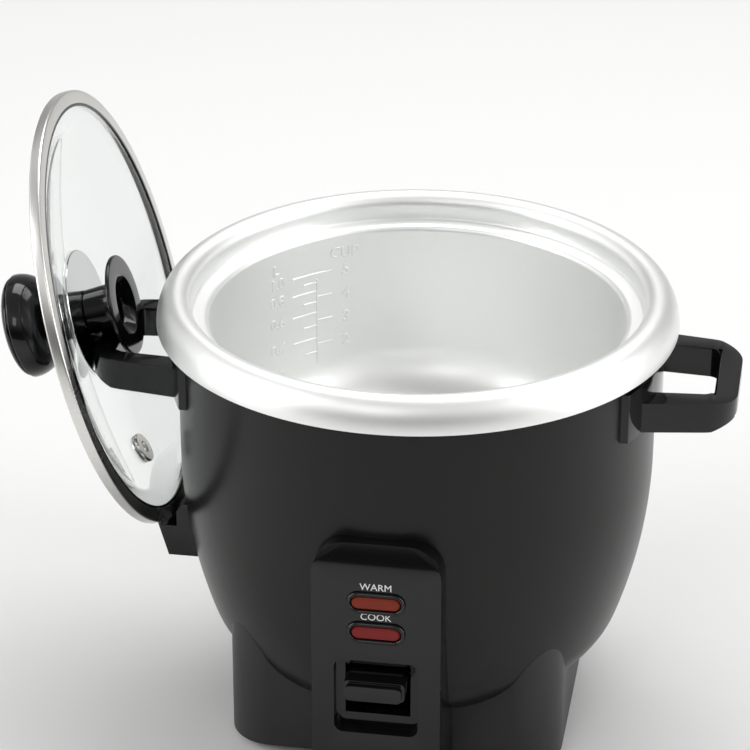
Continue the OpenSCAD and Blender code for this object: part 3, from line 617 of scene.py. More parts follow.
class Growth:
    """The geometry trees that make what turns or repeats."""

    def __init__(self) -> None:
        """Builds every tree once."""
        self.turned = self._turned()
        self.marks = self._marks()

    @staticmethod
    def _end(tree: Tree, geometry: bpy.types.NodeSocket, source: bpy.types.Node) -> None:
        """Ends a tree with Realize Instances and Set Material."""
        real = tree.node("GeometryNodeRealizeInstances")
        dressed = tree.node("GeometryNodeSetMaterial")
        tree.link(geometry, real.inputs[0])
        tree.link(real.outputs[0], dressed.inputs["Geometry"])
        tree.link(source.outputs["Material"], dressed.inputs["Material"])
        out = tree.node("NodeGroupOutput")
        tree.link(dressed.outputs[0], out.inputs[0])

    @staticmethod
    def _turned() -> bpy.types.NodeTree:
        """A section turned round the Z axis: a grid whose columns take the section's points."""
        tree = Tree.geometry("turned_piece")
        tree.give("Section", "NodeSocketGeometry")
        tree.give("Section Points", "NodeSocketInt", 2)
        tree.give("Steps", "NodeSocketInt", 96)
        tree.give("Material", "NodeSocketMaterial")
        tree.put_out("Geometry", "NodeSocketGeometry")
        source = tree.node("NodeGroupInput")
        columns, steps = source.outputs["Section Points"], source.outputs["Steps"]
        spans = tree.maths("SUBTRACT", columns, 1.0)
        rows = tree.maths("ADD", steps, 1.0)
        grid = tree.node("GeometryNodeMeshGrid")
        for socket, value in zip(grid.inputs, (spans, steps, columns, rows)):
            tree.link(value, socket)
        place = tree.node("GeometryNodeInputPosition")
        x, y, _ = tree.parts(place.outputs[0])
        column = tree.maths("ROUND", tree.maths("ADD", x, tree.maths("MULTIPLY", spans, 0.5)))
        row = tree.maths("ROUND", tree.maths("ADD", y, tree.maths("MULTIPLY", steps, 0.5)))
        turn = tree.maths("MULTIPLY", tree.maths("DIVIDE", row, steps), 2 * math.pi)
        sample = tree.node("GeometryNodeSampleIndex", data_type="FLOAT_VECTOR", domain="POINT")
        own = tree.node("GeometryNodeInputPosition")
        tree.link(source.outputs["Section"], sample.inputs["Geometry"])
        tree.link(own.outputs[0], sample.inputs["Value"])
        tree.link(column, sample.inputs["Index"])
        turned = tree.node("ShaderNodeVectorRotate", rotation_type="Z_AXIS")
        tree.link(sample.outputs[0], turned.inputs["Vector"])
        tree.link(turn, turned.inputs["Angle"])
        moved = tree.node("GeometryNodeSetPosition")
        tree.link(grid.outputs["Mesh"], moved.inputs["Geometry"])
        tree.link(turned.outputs[0], moved.inputs["Position"])
        joined = tree.node("GeometryNodeMergeByDistance")
        tree.link(moved.outputs[0], joined.inputs["Geometry"])
        joined.inputs["Distance"].default_value = 1e-6
        Growth._end(tree, joined.outputs[0], source)
        return tree.tree

    @staticmethod
    def _marks() -> bpy.types.NodeTree:
        """Raised marks along the inside of a round wall, one at each point of the seed."""
        tree = Tree.geometry("wall_marks")
        tree.give("Geometry", "NodeSocketGeometry")
        tree.give("Radius", "NodeSocketFloat", 0.09)
        tree.give("Start Angle", "NodeSocketFloat", 0.0)
        tree.give("Sweep Angle", "NodeSocketFloat", 0.1)
        tree.give("Ridge", "NodeSocketFloat", 0.0004)
        tree.give("Material", "NodeSocketMaterial")
        tree.put_out("Geometry", "NodeSocketGeometry")
        source = tree.node("NodeGroupInput")
        bow = tree.node("GeometryNodeCurveArc", mode="RADIUS")
        bow.inputs["Resolution"].default_value = 12
        for name in ("Radius", "Start Angle", "Sweep Angle"):
            tree.link(source.outputs[name], bow.inputs[name])
        ring = tree.node("GeometryNodeCurvePrimitiveCircle", mode="RADIUS")
        ring.inputs["Resolution"].default_value = 10
        tree.link(source.outputs["Ridge"], ring.inputs["Radius"])
        ridge = tree.node("GeometryNodeCurveToMesh")
        tree.link(bow.outputs["Curve"], ridge.inputs["Curve"])
        tree.link(ring.outputs["Curve"], ridge.inputs["Profile Curve"])
        ridge.inputs["Fill Caps"].default_value = True
        spread = tree.node("GeometryNodeInstanceOnPoints")
        tree.link(source.outputs["Geometry"], spread.inputs["Points"])
        tree.link(ridge.outputs["Mesh"], spread.inputs["Instance"])
        Growth._end(tree, spread.outputs[0], source)
        return tree.tree


# ---------------------------------------------------------------- finishes


class Grain(Enum):
    """How a surface is marked by its making."""

    MOULDED = "moulded"
    TURNED = "turned"
    CAST = "cast"
    SMOOTH = "smooth"


class Effects:
    """The shader groups that several finishes use."""

    def __init__(self) -> None:
        """Builds every group once."""
        self.handling = self._handling()
        self.turning = self._turning()
        self.pebble = self._pebble()
        self.dust = self._dust()

    @staticmethod
    def _handling() -> bpy.types.NodeTree:
        """Soft patches and fine scratches that vary a roughness."""
        tree = Tree.shading("handling_marks")
        tree.give("Vector", "NodeSocketVector")
        tree.give("Base", "NodeSocketFloat", 0.3)
        tree.give("Patches", "NodeSocketFloat", 0.05)
        tree.give("Scratches", "NodeSocketFloat", 0.05)
        tree.put_out("Roughness", "NodeSocketFloat")
        source = tree.node("NodeGroupInput")
        patch = tree.node("ShaderNodeTexNoise")
        patch.inputs["Scale"].default_value = 14.0
        patch.inputs["Detail"].default_value = 4.0
        tree.link(source.outputs["Vector"], patch.inputs["Vector"])
        stretch = tree.node("ShaderNodeMapping")
        stretch.inputs["Rotation"].default_value = (0.3, 0.7, 0.4)
        stretch.inputs["Scale"].default_value = (1500.0, 45.0, 45.0)
        tree.link(source.outputs["Vector"], stretch.inputs["Vector"])
        scratch = tree.node("ShaderNodeTexNoise")
        scratch.inputs["Scale"].default_value = 1.0
        scratch.inputs["Detail"].default_value = 2.0
        tree.link(stretch.outputs[0], scratch.inputs["Vector"])
        thin = tree.node("ShaderNodeMapRange")
        thin.inputs["From Min"].default_value = 0.62
        thin.inputs["From Max"].default_value = 0.78
        tree.link(scratch.outputs[0], thin.inputs["Value"])
        centred = tree.maths("SUBTRACT", patch.outputs[0], 0.5)
        blotch = tree.maths("MULTIPLY", centred, source.outputs["Patches"])
        line = tree.maths("MULTIPLY", thin.outputs[0], source.outputs["Scratches"])
        total = tree.maths("ADD", tree.maths("ADD", source.outputs["Base"], blotch), line)
        out = tree.node("NodeGroupOutput")
        tree.link(total, out.inputs["Roughness"])
        return tree.tree

    @staticmethod
    def _turning() -> bpy.types.NodeTree:
        """Fine rings left by polishing on a lathe, about the Z axis of the vector given."""
        tree = Tree.shading("turning_marks")
        tree.give("Vector", "NodeSocketVector")
        tree.give("Density", "NodeSocketFloat", 900.0)
        tree.put_out("Height", "NodeSocketFloat")
        source = tree.node("NodeGroupInput")
        x, y, z = tree.parts(source.outputs["Vector"])
        squares = (tree.maths("MULTIPLY", x, x), tree.maths("MULTIPLY", y, y))
        radius = tree.maths("SQRT", tree.maths("ADD", *squares))
        angle = tree.maths("ARCTAN2", y, x)
        density = source.outputs["Density"]
        spot = tree.vector(
            tree.maths("MULTIPLY", radius, density),
            tree.maths("MULTIPLY", z, density),
            tree.maths("MULTIPLY", tree.maths("SINE", angle), 1.4),
        )
        noise = tree.node("ShaderNodeTexNoise")
        noise.inputs["Scale"].default_value = 1.0
        noise.inputs["Detail"].default_value = 3.0
        tree.link(spot, noise.inputs["Vector"])
        out = tree.node("NodeGroupOutput")
        tree.link(noise.outputs[0], out.inputs["Height"])
        return tree.tree

    @staticmethod
    def _pebble() -> bpy.types.NodeTree:
        """The fine pebbling of a moulding, a casting or paint."""
        tree = Tree.shading("surface_pebble")
        tree.give("Vector", "NodeSocketVector")
        tree.give("Scale", "NodeSocketFloat", 1200.0)
        tree.put_out("Height", "NodeSocketFloat")
        source = tree.node("NodeGroupInput")
        noise = tree.node("ShaderNodeTexNoise")
        noise.inputs["Detail"].default_value = 4.0
        noise.inputs["Roughness"].default_value = 0.6
        tree.link(source.outputs["Vector"], noise.inputs["Vector"])
        tree.link(source.outputs["Scale"], noise.inputs["Scale"])
        out = tree.node("NodeGroupOutput")
        tree.link(noise.outputs[0], out.inputs["Height"])
        return tree.tree

    @staticmethod
    def _dust() -> bpy.types.NodeTree:
        """A thin settling of dust on what faces up."""
        tree = Tree.shading("settled_dust")
        tree.give("Vector", "NodeSocketVector")
        tree.give("Up", "NodeSocketFloat", 0.0)
        tree.give("Amount", "NodeSocketFloat", 0.1)
        tree.put_out("Mask", "NodeSocketFloat")
        source = tree.node("NodeGroupInput")
        noise = tree.node("ShaderNodeTexNoise")
        noise.inputs["Scale"].default_value = 60.0
        noise.inputs["Detail"].default_value = 6.0
        tree.link(source.outputs["Vector"], noise.inputs["Vector"])
        facing = tree.node("ShaderNodeMapRange")
        facing.inputs["From Min"].default_value = 0.3
        tree.link(source.outputs["Up"], facing.inputs["Value"])
        spots = tree.node("ShaderNodeMapRange")
        spots.inputs["From Min"].default_value = 0.35
        spots.inputs["From Max"].default_value = 0.8
        tree.link(noise.outputs[0], spots.inputs["Value"])
        lying = tree.maths("MULTIPLY", facing.outputs[0], spots.outputs[0])
        mask = tree.maths("MULTIPLY", lying, source.outputs["Amount"])
        out = tree.node("NodeGroupOutput")
        tree.link(mask, out.inputs["Mask"])
        return tree.tree


@dataclass(frozen=True)
class Finish:
    """One surface finish.

    Attributes:
        name: the material's name, which is also its slot.
        colour: base colour.
        roughness: mean roughness.
        metallic: 1 for bare metal.
        grain: how the surface was made.
        relief: depth of its grain, in millimetres.
        density: how fine its grain is, per metre.
        patches: how much the roughness drifts.
        scratches: how much fine scratches raise the roughness.
        shade: second colour that patches drift to.
        dust: how much dust lies on top faces.
        transmission: 1 for clear glass.
        ior: index of refraction.
        emission: strength of its glow.
        specular: level of its gloss.
        axis: frame whose Z axis the turning marks run about.
    """

    name: str
    colour: Colour
    roughness: float = 0.3
    metallic: float = 0.0
    grain: Grain = Grain.SMOOTH
    relief: float = 0.004
    density: float = 900.0
    patches: float = 0.06
    scratches: float = 0.05
    shade: Optional[Colour] = None
    dust: float = 0.0
    transmission: float = 0.0
    ior: float = 1.5
    emission: float = 0.0
    specular: float = 0.5
    axis: Optional[Matrix] = None

    def build(self, effects: Effects) -> bpy.types.Material:
        """Builds the material.

        Args:
            effects: the shared shader groups.

        Returns:
            The material.
        """
        material = bpy.data.materials.new(self.name)
        material.use_nodes = True
        tree = Tree(material.node_tree)
        out = tree.node("ShaderNodeOutputMaterial")
        surface = tree.node("ShaderNodeBsdfPrincipled")
        tree.link(surface.outputs[0], out.inputs["Surface"])
        plain = {
            "Metallic": self.metallic,
            "IOR": self.ior,
            "Transmission Weight": self.transmission,
            "Specular IOR Level": self.specular,
            "Emission Strength": self.emission,
            "Emission Color": (*self.colour, 1.0),
        }
        for name, value in plain.items():
            surface.inputs[name].default_value = value
        place = self._place(tree)
        marks = tree.node("ShaderNodeGroup", node_tree=effects.handling)
        tree.link(place, marks.inputs["Vector"])
        marks.inputs["Base"].default_value = self.roughness
        marks.inputs["Patches"].default_value = self.patches
        marks.inputs["Scratches"].default_value = self.scratches
        tree.link(marks.outputs["Roughness"], surface.inputs["Roughness"])
        self._colour(tree, surface, place, effects)
        self._relief(tree, surface, place, effects)
        return material

    def _place(self, tree: Tree) -> bpy.types.NodeSocket:
        """Adds the coordinates, turned into the finish's own frame where it has one."""
        place = tree.node("ShaderNodeTexCoord").outputs["Object"]
        if self.axis is None:
            return place
        inverse = self.axis.inverted()
        turned = tree.node("ShaderNodeMapping", vector_type="POINT")
        turned.inputs["Location"].default_value = inverse.to_translation()
        turned.inputs["Rotation"].default_value = inverse.to_euler("XYZ")
        tree.link(place, turned.inputs["Vector"])
        return turned.outputs[0]

    def _colour(
        self, tree: Tree, surface: bpy.types.Node, place: bpy.types.NodeSocket, effects: Effects
    ) -> None:
        """Adds the base colour with its drift and dust."""
        base = surface.inputs["Base Color"]
        base.default_value = (*self.colour, 1.0)
        if self.transmission:
            return
        shade = self.shade or tuple(0.88 * c for c in self.colour)
        drift = tree.node("ShaderNodeTexNoise")
        drift.inputs["Scale"].default_value = 22.0
        drift.inputs["Detail"].default_value = 5.0
        tree.link(place, drift.inputs["Vector"])
        blend = tree.node("ShaderNodeMix", data_type="RGBA")
        blend.inputs[MIX_A].default_value = (*self.colour, 1.0)
        blend.inputs[MIX_B].default_value = (*shade, 1.0)
        tree.link(drift.outputs[0], blend.inputs[0])
        result = blend.outputs[MIX_RESULT]
        if self.dust:
            normal = tree.node("ShaderNodeNewGeometry")
            _, _, up = tree.parts(normal.outputs["Normal"])
            dust = tree.node("ShaderNodeGroup", node_tree=effects.dust)
            tree.link(place, dust.inputs["Vector"])
            tree.link(up, dust.inputs["Up"])
            dust.inputs["Amount"].default_value = self.dust
            cover = tree.node("ShaderNodeMix", data_type="RGBA")
            tree.link(dust.outputs["Mask"], cover.inputs[0])
            tree.link(result, cover.inputs[MIX_A])
            cover.inputs[MIX_B].default_value = DUST_COLOUR
            result = cover.outputs[MIX_RESULT]
        tree.link(result, base)

    def _relief(
        self, tree: Tree, surface: bpy.types.Node, place: bpy.types.NodeSocket, effects: Effects
    ) -> None:
        """Adds the grain's relief."""
        if self.grain is Grain.SMOOTH:
            return
        bump = tree.node("ShaderNodeBump")
        bump.inputs["Strength"].default_value = 1.0
        bump.inputs["Distance"].default_value = self.relief * MM
        if self.grain is Grain.TURNED:
            marks = tree.node("ShaderNodeGroup", node_tree=effects.turning)
            marks.inputs["Density"].default_value = self.density
        else:
            marks = tree.node("ShaderNodeGroup", node_tree=effects.pebble)
            marks.inputs["Scale"].default_value = self.density
        tree.link(place, marks.inputs["Vector"])
        tree.link(marks.outputs["Height"], bump.inputs["Height"])
        tree.link(bump.outputs[0], surface.inputs["Normal"])


class Finishes:
    """Every finish of the cooker, built on first use."""

    ALL: tuple[Finish, ...] = (
        Finish("shell_gloss", (0.006, 0.0059, 0.0057), 0.3, specular=0.26, grain=Grain.MOULDED,
               relief=0.004, density=700.0, patches=0.05, scratches=0.02),
        Finish("black_gloss", (0.004, 0.004, 0.0042), 0.1, specular=0.4, grain=Grain.MOULDED,
               relief=0.0006, density=180.0,
               patches=0.04, scratches=0.03),
        Finish("black_matte", (0.014, 0.014, 0.0145), 0.5, grain=Grain.MOULDED, relief=0.02, density=1500.0,
               patches=0.1, dust=0.05),
        Finish("pot_aluminium", (0.9, 0.905, 0.895), 0.44, 1.0, Grain.TURNED, 0.0012, 1100.0,
               patches=0.05, scratches=0.04, shade=(0.87, 0.875, 0.865)),
        Finish("liner_steel", (0.62, 0.63, 0.64), 0.38, 1.0, Grain.TURNED, 0.002, 700.0, patches=0.1),
        Finish("band_steel", (0.74, 0.73, 0.705), 0.28, 1.0, Grain.TURNED, 0.004, 2600.0, patches=0.08,
               scratches=0.06, axis=LID),
        Finish("disc_steel", (0.6, 0.61, 0.61), 0.12, 1.0, Grain.TURNED, 0.0004, 1500.0,
               patches=0.02, axis=LID),
        Finish("fixing_steel", (0.62, 0.62, 0.6), 0.32, 1.0, Grain.CAST, 0.004, 1800.0, patches=0.12),
        Finish("sheet_steel", (0.55, 0.56, 0.57), 0.36, 1.0, Grain.CAST, 0.003, 900.0, patches=0.14),
        Finish("plate_cast", (0.66, 0.66, 0.65), 0.4, 1.0, Grain.TURNED, 0.01, 420.0, patches=0.12),
        Finish("sheath_metal", (0.16, 0.145, 0.13), 0.55, 0.8, Grain.CAST, 0.02, 900.0,
               shade=(0.26, 0.2, 0.15)),
        Finish("sensor_metal", (0.75, 0.75, 0.75), 0.28, 1.0, Grain.TURNED, 0.003, 1200.0),
        Finish("ferrite", (0.035, 0.034, 0.033), 0.55, grain=Grain.CAST, relief=0.02, density=1300.0),
        # seal_rubber is also the black of the ring inside the lid's band, which paints the shade line along
        # its inner edge.
        Finish("seal_rubber", (0.006, 0.006, 0.006), 0.3, grain=Grain.MOULDED, relief=0.003, density=900.0),
        Finish("foot_rubber", (0.02, 0.02, 0.02), 0.7, grain=Grain.MOULDED, relief=0.03,
               density=1100.0, dust=0.1),
        Finish("silicone", (0.6, 0.6, 0.57), 0.45, grain=Grain.MOULDED, relief=0.004, density=700.0),
        Finish("cream_plastic", (0.66, 0.6, 0.47), 0.42, grain=Grain.MOULDED, relief=0.01, density=1100.0),
        Finish("mica", (0.55, 0.47, 0.33), 0.7, grain=Grain.CAST, relief=0.05, density=700.0,
               shade=(0.45, 0.38, 0.26)),
        Finish("fuse_sleeve", (0.75, 0.73, 0.68), 0.85, grain=Grain.CAST, relief=0.08, density=1600.0),
        Finish("wire_red", (0.42, 0.04, 0.03), 0.4, grain=Grain.MOULDED, relief=0.004, density=900.0),
        Finish("contact_brass", (0.7, 0.56, 0.3), 0.28, 1.0, Grain.CAST, 0.003, 1500.0, shade=(0.6,
               0.46, 0.24)),
        Finish("lid_glass", (0.87, 0.895, 0.885), 0.0, patches=0.0, scratches=0.0,
               transmission=1.0, ior=1.5),
        Finish("lamp_glass", (0.98, 0.93, 0.9), 0.05, patches=0.01, scratches=0.0, transmission=0.9),
        Finish("warm_lens", (0.15, 0.013, 0.005), 0.22, grain=Grain.MOULDED, relief=0.02,
               density=260.0, patches=0.08,
               specular=0.22, emission=0.02, shade=(0.2, 0.026, 0.008)),
        Finish("cook_lens", (0.14, 0.008, 0.007), 0.22, grain=Grain.MOULDED, relief=0.02,
               density=260.0, patches=0.08,
               specular=0.22, emission=0.02, shade=(0.19, 0.014, 0.012)),
        Finish("panel_print", (0.8, 0.8, 0.8), 0.4, grain=Grain.MOULDED, relief=0.003, density=1500.0),
    )

    def __init__(self) -> None:
        """Builds the shared groups."""
        self._effects = Effects()
        self._made: dict[str, bpy.types.Material] = {}
        self._known = {finish.name: finish for finish in self.ALL}

    def __getitem__(self, name: str) -> bpy.types.Material:
        """Gives a finish's material, building it on first use."""
        if name not in self._made:
            self._made[name] = self._known[name].build(self._effects)
        return self._made[name]


# ---------------------------------------------------------------- workshop


@dataclass
class Workshop:
    """What every sub-assembly makes its pieces with.

    Attributes:
        finishes: the materials.
        growth: the geometry trees.
        made: the pieces made so far.
    """

    finishes: Finishes = field(default_factory=Finishes)
    growth: Growth = field(default_factory=Growth)
    made: list[str] = field(default_factory=list)

    def add(
        self,
        piece: bpy.types.Object,
        body: str,
        slot: str,
        replaces: Sequence[str] = (),
        angle: float = 30.0,
        material: Optional[str] = None,
    ) -> bpy.types.Object:
        """Finishes a piece and hands it to its CAD body.

        Args:
            piece: the piece, at the origin.
            body: the CAD body that it moves with.
            slot: the record's slot that it takes its finish from.
            replaces: CAD nodes that it stands for.
            angle: edges sharper than this stay hard.
            material: its finish, where that isn't the slot's own.

        Returns:
            The piece.
        """
        piece.data.materials.clear()
        piece.data.materials.append(self.finishes[material or slot])
        smooth(piece, angle)
        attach(piece, body)
        if replaces:
            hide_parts(*replaces)
        self.made.append(piece.name)
        LOG.info("%s rides on %s (%d faces)", piece.name, body, len(piece.data.polygons))
        return piece

    def turned(
        self,
        name: str,
        section: Sequence[Point2],
        slot: str,
        steps: int = 160,
        place: Optional[Matrix] = None,
    ) -> bpy.types.Object:
        """Turns a section round the Z axis.

        Args:
            name: the piece's name.
            section: its (radius, height) points in millimetres; closed sections repeat their first point.
            slot: its finish.
            steps: how many pieces a full turn has.
            place: frame to put the piece in, in metres.

        Returns:
            The piece, with its faces outward.
        """
        points = [(r * MM, 0.0, z * MM) for r, z in section]
        edges = [(i, i + 1) for i in range(len(points) - 1)]
        seed = mesh_from(name, points, edges)
        piece = grow(
            name, seed, self.growth.turned, self.finishes[slot], Section_Points=len(points), Steps=steps
        )
        face_out(piece)
        if place is not None:
            piece.data.transform(place)
        return piece

    def softened(
        self, name: str, node: str, width: float, segments: int = 3, least: float = 28.0
    ) -> bpy.types.Object:
        """Copies a CAD node and rounds its edges.

        Args:
            name: the piece's name.
            node: the CAD node to copy.
            width: width of the rounding, in millimetres.
            segments: how many pieces each rounding has.
            least: edges sharper than this many degrees are rounded.

        Returns:
            The piece.
        """
        work = bmesh.new()
        work.from_mesh(frame["nodes"][node].data)
        bmesh.ops.remove_doubles(work, verts=work.verts, dist=2e-6)
        bmesh.ops.dissolve_limit(
            work, angle_limit=math.radians(1.0), verts=work.verts, edges=work.edges, delimit=set()
        )
        limit = math.radians(least)
        sharp = [e for e in work.edges if len(e.link_faces) == 2 and e.calc_face_angle(0.0) > limit]
        bmesh.ops.bevel(
            work,
            geom=sharp,
            offset=width * MM,
            offset_type="OFFSET",
            segments=segments,
            profile=0.5,
            affect="EDGES",
            clamp_overlap=True,
        )
        bmesh.ops.triangulate(work, faces=[f for f in work.faces if len(f.verts) > 4])
        mesh = bpy.data.meshes.new(name)
        work.to_mesh(mesh)
        work.free()
        return link_object(name, mesh)


def face_out(piece: bpy.types.Object) -> None:
    """Turns a closed piece's faces outwards."""
    work = bmesh.new()
    work.from_mesh(piece.data)
    bmesh.ops.recalc_face_normals(work, faces=work.faces)
    if work.calc_volume(signed=True) < 0:
        bmesh.ops.reverse_faces(work, faces=work.faces)
    work.to_mesh(piece.data)
    work.free()


def loft(name: str, rings: Sequence[Sequence[Vector]], capped: bool = True) -> bpy.types.Object:
    """Joins closed rings of equal length into a skin.

    Args:
        name: the piece's name.
        rings: the rings, in order, in metres.
        capped: closes the first and last ring.

    Returns:
        The piece, with its faces outward.
    """
    count = len(rings[0])
    points = [tuple(p) for ring in rings for p in ring]
    faces = []
    for k in range(len(rings) - 1):
        for i in range(count):
            j = (i + 1) % count
            faces.append((k * count + i, k * count + j, (k + 1) * count + j, (k + 1) * count + i))
    if capped:
        faces.append(tuple(range(count)))
        faces.append(tuple(range((len(rings) - 1) * count, len(rings) * count)))
    piece = link_object(name, mesh_from(name, points, (), faces))
    face_out(piece)
    return piece


def lettering(name: str, words: str, height: float, depth: float, soft: float) -> bpy.types.Mesh:
    """Makes raised characters in the XY plane, centred, in metres.

    Args:
        name: the mesh's name.
        words: the characters.
        height: height of a capital, in millimetres.
        depth: half the relief, in millimetres.
        soft: rounding of the relief's edges, in millimetres.

    Returns:
        The mesh.
    """
    curve = bpy.data.curves.new(name, "FONT")
    curve.body = words
    curve.align_x, curve.align_y = "CENTER", "CENTER"
    curve.size = height * MM / 0.7
    curve.extrude = depth * MM
    curve.bevel_depth = soft * MM
    curve.bevel_resolution = 2
    curve.resolution_u = 6
    holder = bpy.data.objects.new(name, curve)
    bpy.context.scene.collection.objects.link(holder)
    bpy.context.view_layer.update()
    mesh = bpy.data.meshes.new_from_object(holder.evaluated_get(bpy.context.evaluated_depsgraph_get()))
    bpy.data.objects.remove(holder)
    return mesh


# ---------------------------------------------------------------- sub-assemblies


@dataclass
class Pot:
    """The cooking pot and its water scale.

    Attributes:
        line_turn: angle of the scale's upright line, in degrees.
        cup_end: where the cup marks end.
        litre_end: where the litre marks end.
        half_end: where the short marks end.
        cups: heights of the cup marks over the skirt's edge, from five cups down.
        litres: heights of the 0.2 litre marks, from one litre down.
        ridge: half the width of a mark.
    """

    shop: Workshop
    line_turn: float = 129.3
    cup_end: float = 124.4
    litre_end: float = 137.8
    half_end: float = 133.9
    cups: tuple[float, ...] = (-16.4, -28.3, -40.3, -52.4, -66.5)
    litres: tuple[float, ...] = (-16.4, -25.4, -36.3, -49.5, -63.5)
    ridge: float = 0.42

    def build(self) -> None:
        """Builds the pot and its scale."""
        section = wall_section(pot_line, SIZE.pot_t)
        pot = self.shop.turned("pot_wall", section, "pot_aluminium", 256)
        self.shop.add(pot, "pot", "pot_aluminium", ["cooking_pot"], 40.0)
        halves = [(a + b) / 2 for a, b in zip(self.litres, self.litres[1:])]
        self._marks("scale_cup_marks", self.cup_end, self.line_turn, self.cups)
        self._marks("scale_litre_marks", self.line_turn, self.litre_end, self.litres)
        self._marks("scale_half_marks", self.line_turn, self.half_end, halves)
        self._upright()
        self._figures()

    def _marks(self, name: str, start: float, end: float, heights: Sequence[float]) -> None:
        """Adds a set of raised marks, one at each height."""
        seed = mesh_from(name, [(0.0, 0.0, (SIZE.rim_z + z) * MM) for z in heights])
        piece = grow(
            name,
            seed,
            self.shop.growth.marks,
            self.shop.finishes["pot_aluminium"],
            Radius=SIZE.pot_r * MM,
            Start_Angle=math.radians(start),
            Sweep_Angle=math.radians(end - start),
            Ridge=self.ridge * MM,
        )
        face_out(piece)
        self.shop.add(piece, "pot", "pot_aluminium")

    def _upright(self) -> None:
        """Adds the scale's upright line."""
        turn = math.radians(self.line_turn)
        centre = Vector((math.cos(turn), math.sin(turn), 0.0)) * SIZE.pot_r * MM
        rings = []
        for z in (self.cups[-1], self.cups[0] - 3.0):
            across = arc((0.0, 0.0), self.ridge, 0, 324, 9)
            rings.append([centre + Vector((a * MM, b * MM, (SIZE.rim_z + z) * MM)) for a, b in across])
        self.shop.add(loft("scale_upright", rings), "pot", "pot_aluminium")

    def _figures(self) -> None:
        """Adds the scale's figures, bent round the pot's wall."""
        figures = [(str(5 - k), 120.0, z - 0.7, 5.2) for k, z in enumerate(self.cups)]
        figures += [(f"{1 - k / 5:.1f}", 143.4, z, 5.0) for k, z in enumerate(self.litres)]
        figures += [("CUP", 120.4, -8.3, 5.2), ("L", 143.8, -9.3, 4.8)]
        for words, turn, z, height in figures:
            name = "scale_" + words.replace(".", "_")
            mesh = lettering(name, words, height, 0.22, 0.22)
            for vertex in mesh.vertices:
                x, y, raised = vertex.co
                angle = math.radians(turn) - x / (SIZE.pot_r * MM)
                reach = SIZE.pot_r * MM - raised
                vertex.co = (reach * math.cos(angle), reach * math.sin(angle), (SIZE.rim_z + z) * MM + y)
            self.shop.add(link_object(name, mesh), "pot", "pot_aluminium", (), 50.0)


@dataclass
class Drum:
    """The outer shell, the liner inside it and the base under it."""

    shop: Workshop
    window_half: float = 17.0
    window_low: float = 36.0
    window_high: float = 116.0

    def build(self) -> None:
        """Builds the drum's pieces."""
        shell = self.shop.turned("drum_shell", wall_section(shell_line, SIZE.shell_t), "shell_gloss", 288)
        self._cut_window(shell)
        self.shop.add(shell, "cooker", "shell_gloss", ["outer_shell"], 40.0)
        liner = self.shop.turned("well_liner", wall_section(liner_line, SIZE.liner_t), "liner_steel", 192)
        self.shop.add(liner, "cooker", "liner_steel", ["inner_liner"], 40.0)
        base = self.shop.softened("plinth", "base_housing", 0.8, 2, 40.0)
        self.shop.add(base, "cooker", "black_matte", ["base_housing"])
        inlet = self.shop.softened("mains_inlet", "power_inlet", 0.5, 2, 40.0)
        self.shop.add(inlet, "cooker", "black_matte", ["power_inlet"])

    def _cut_window(self, shell: bpy.types.Object) -> None:
        """Opens the shell behind the control panel, where the lever and lamps pass."""
        work = bmesh.new()
        work.from_mesh(shell.data)
        half, low, high = self.window_half * MM, self.window_low * MM, self.window_high * MM

        def inside(face: bmesh.types.BMFace) -> bool:
            """Tells whether a face is in the window."""
            c = face.calc_center_median()
            return abs(c.x) < half and c.y < 0 and low < c.z < high

        bmesh.ops.delete(work, geom=[f for f in work.faces if inside(f)], context="FACES")
        rims = [e for e in work.edges if len(e.link_faces) == 1]
        bmesh.ops.bridge_loops(work, edges=rims)
        work.to_mesh(shell.data)
        work.free()


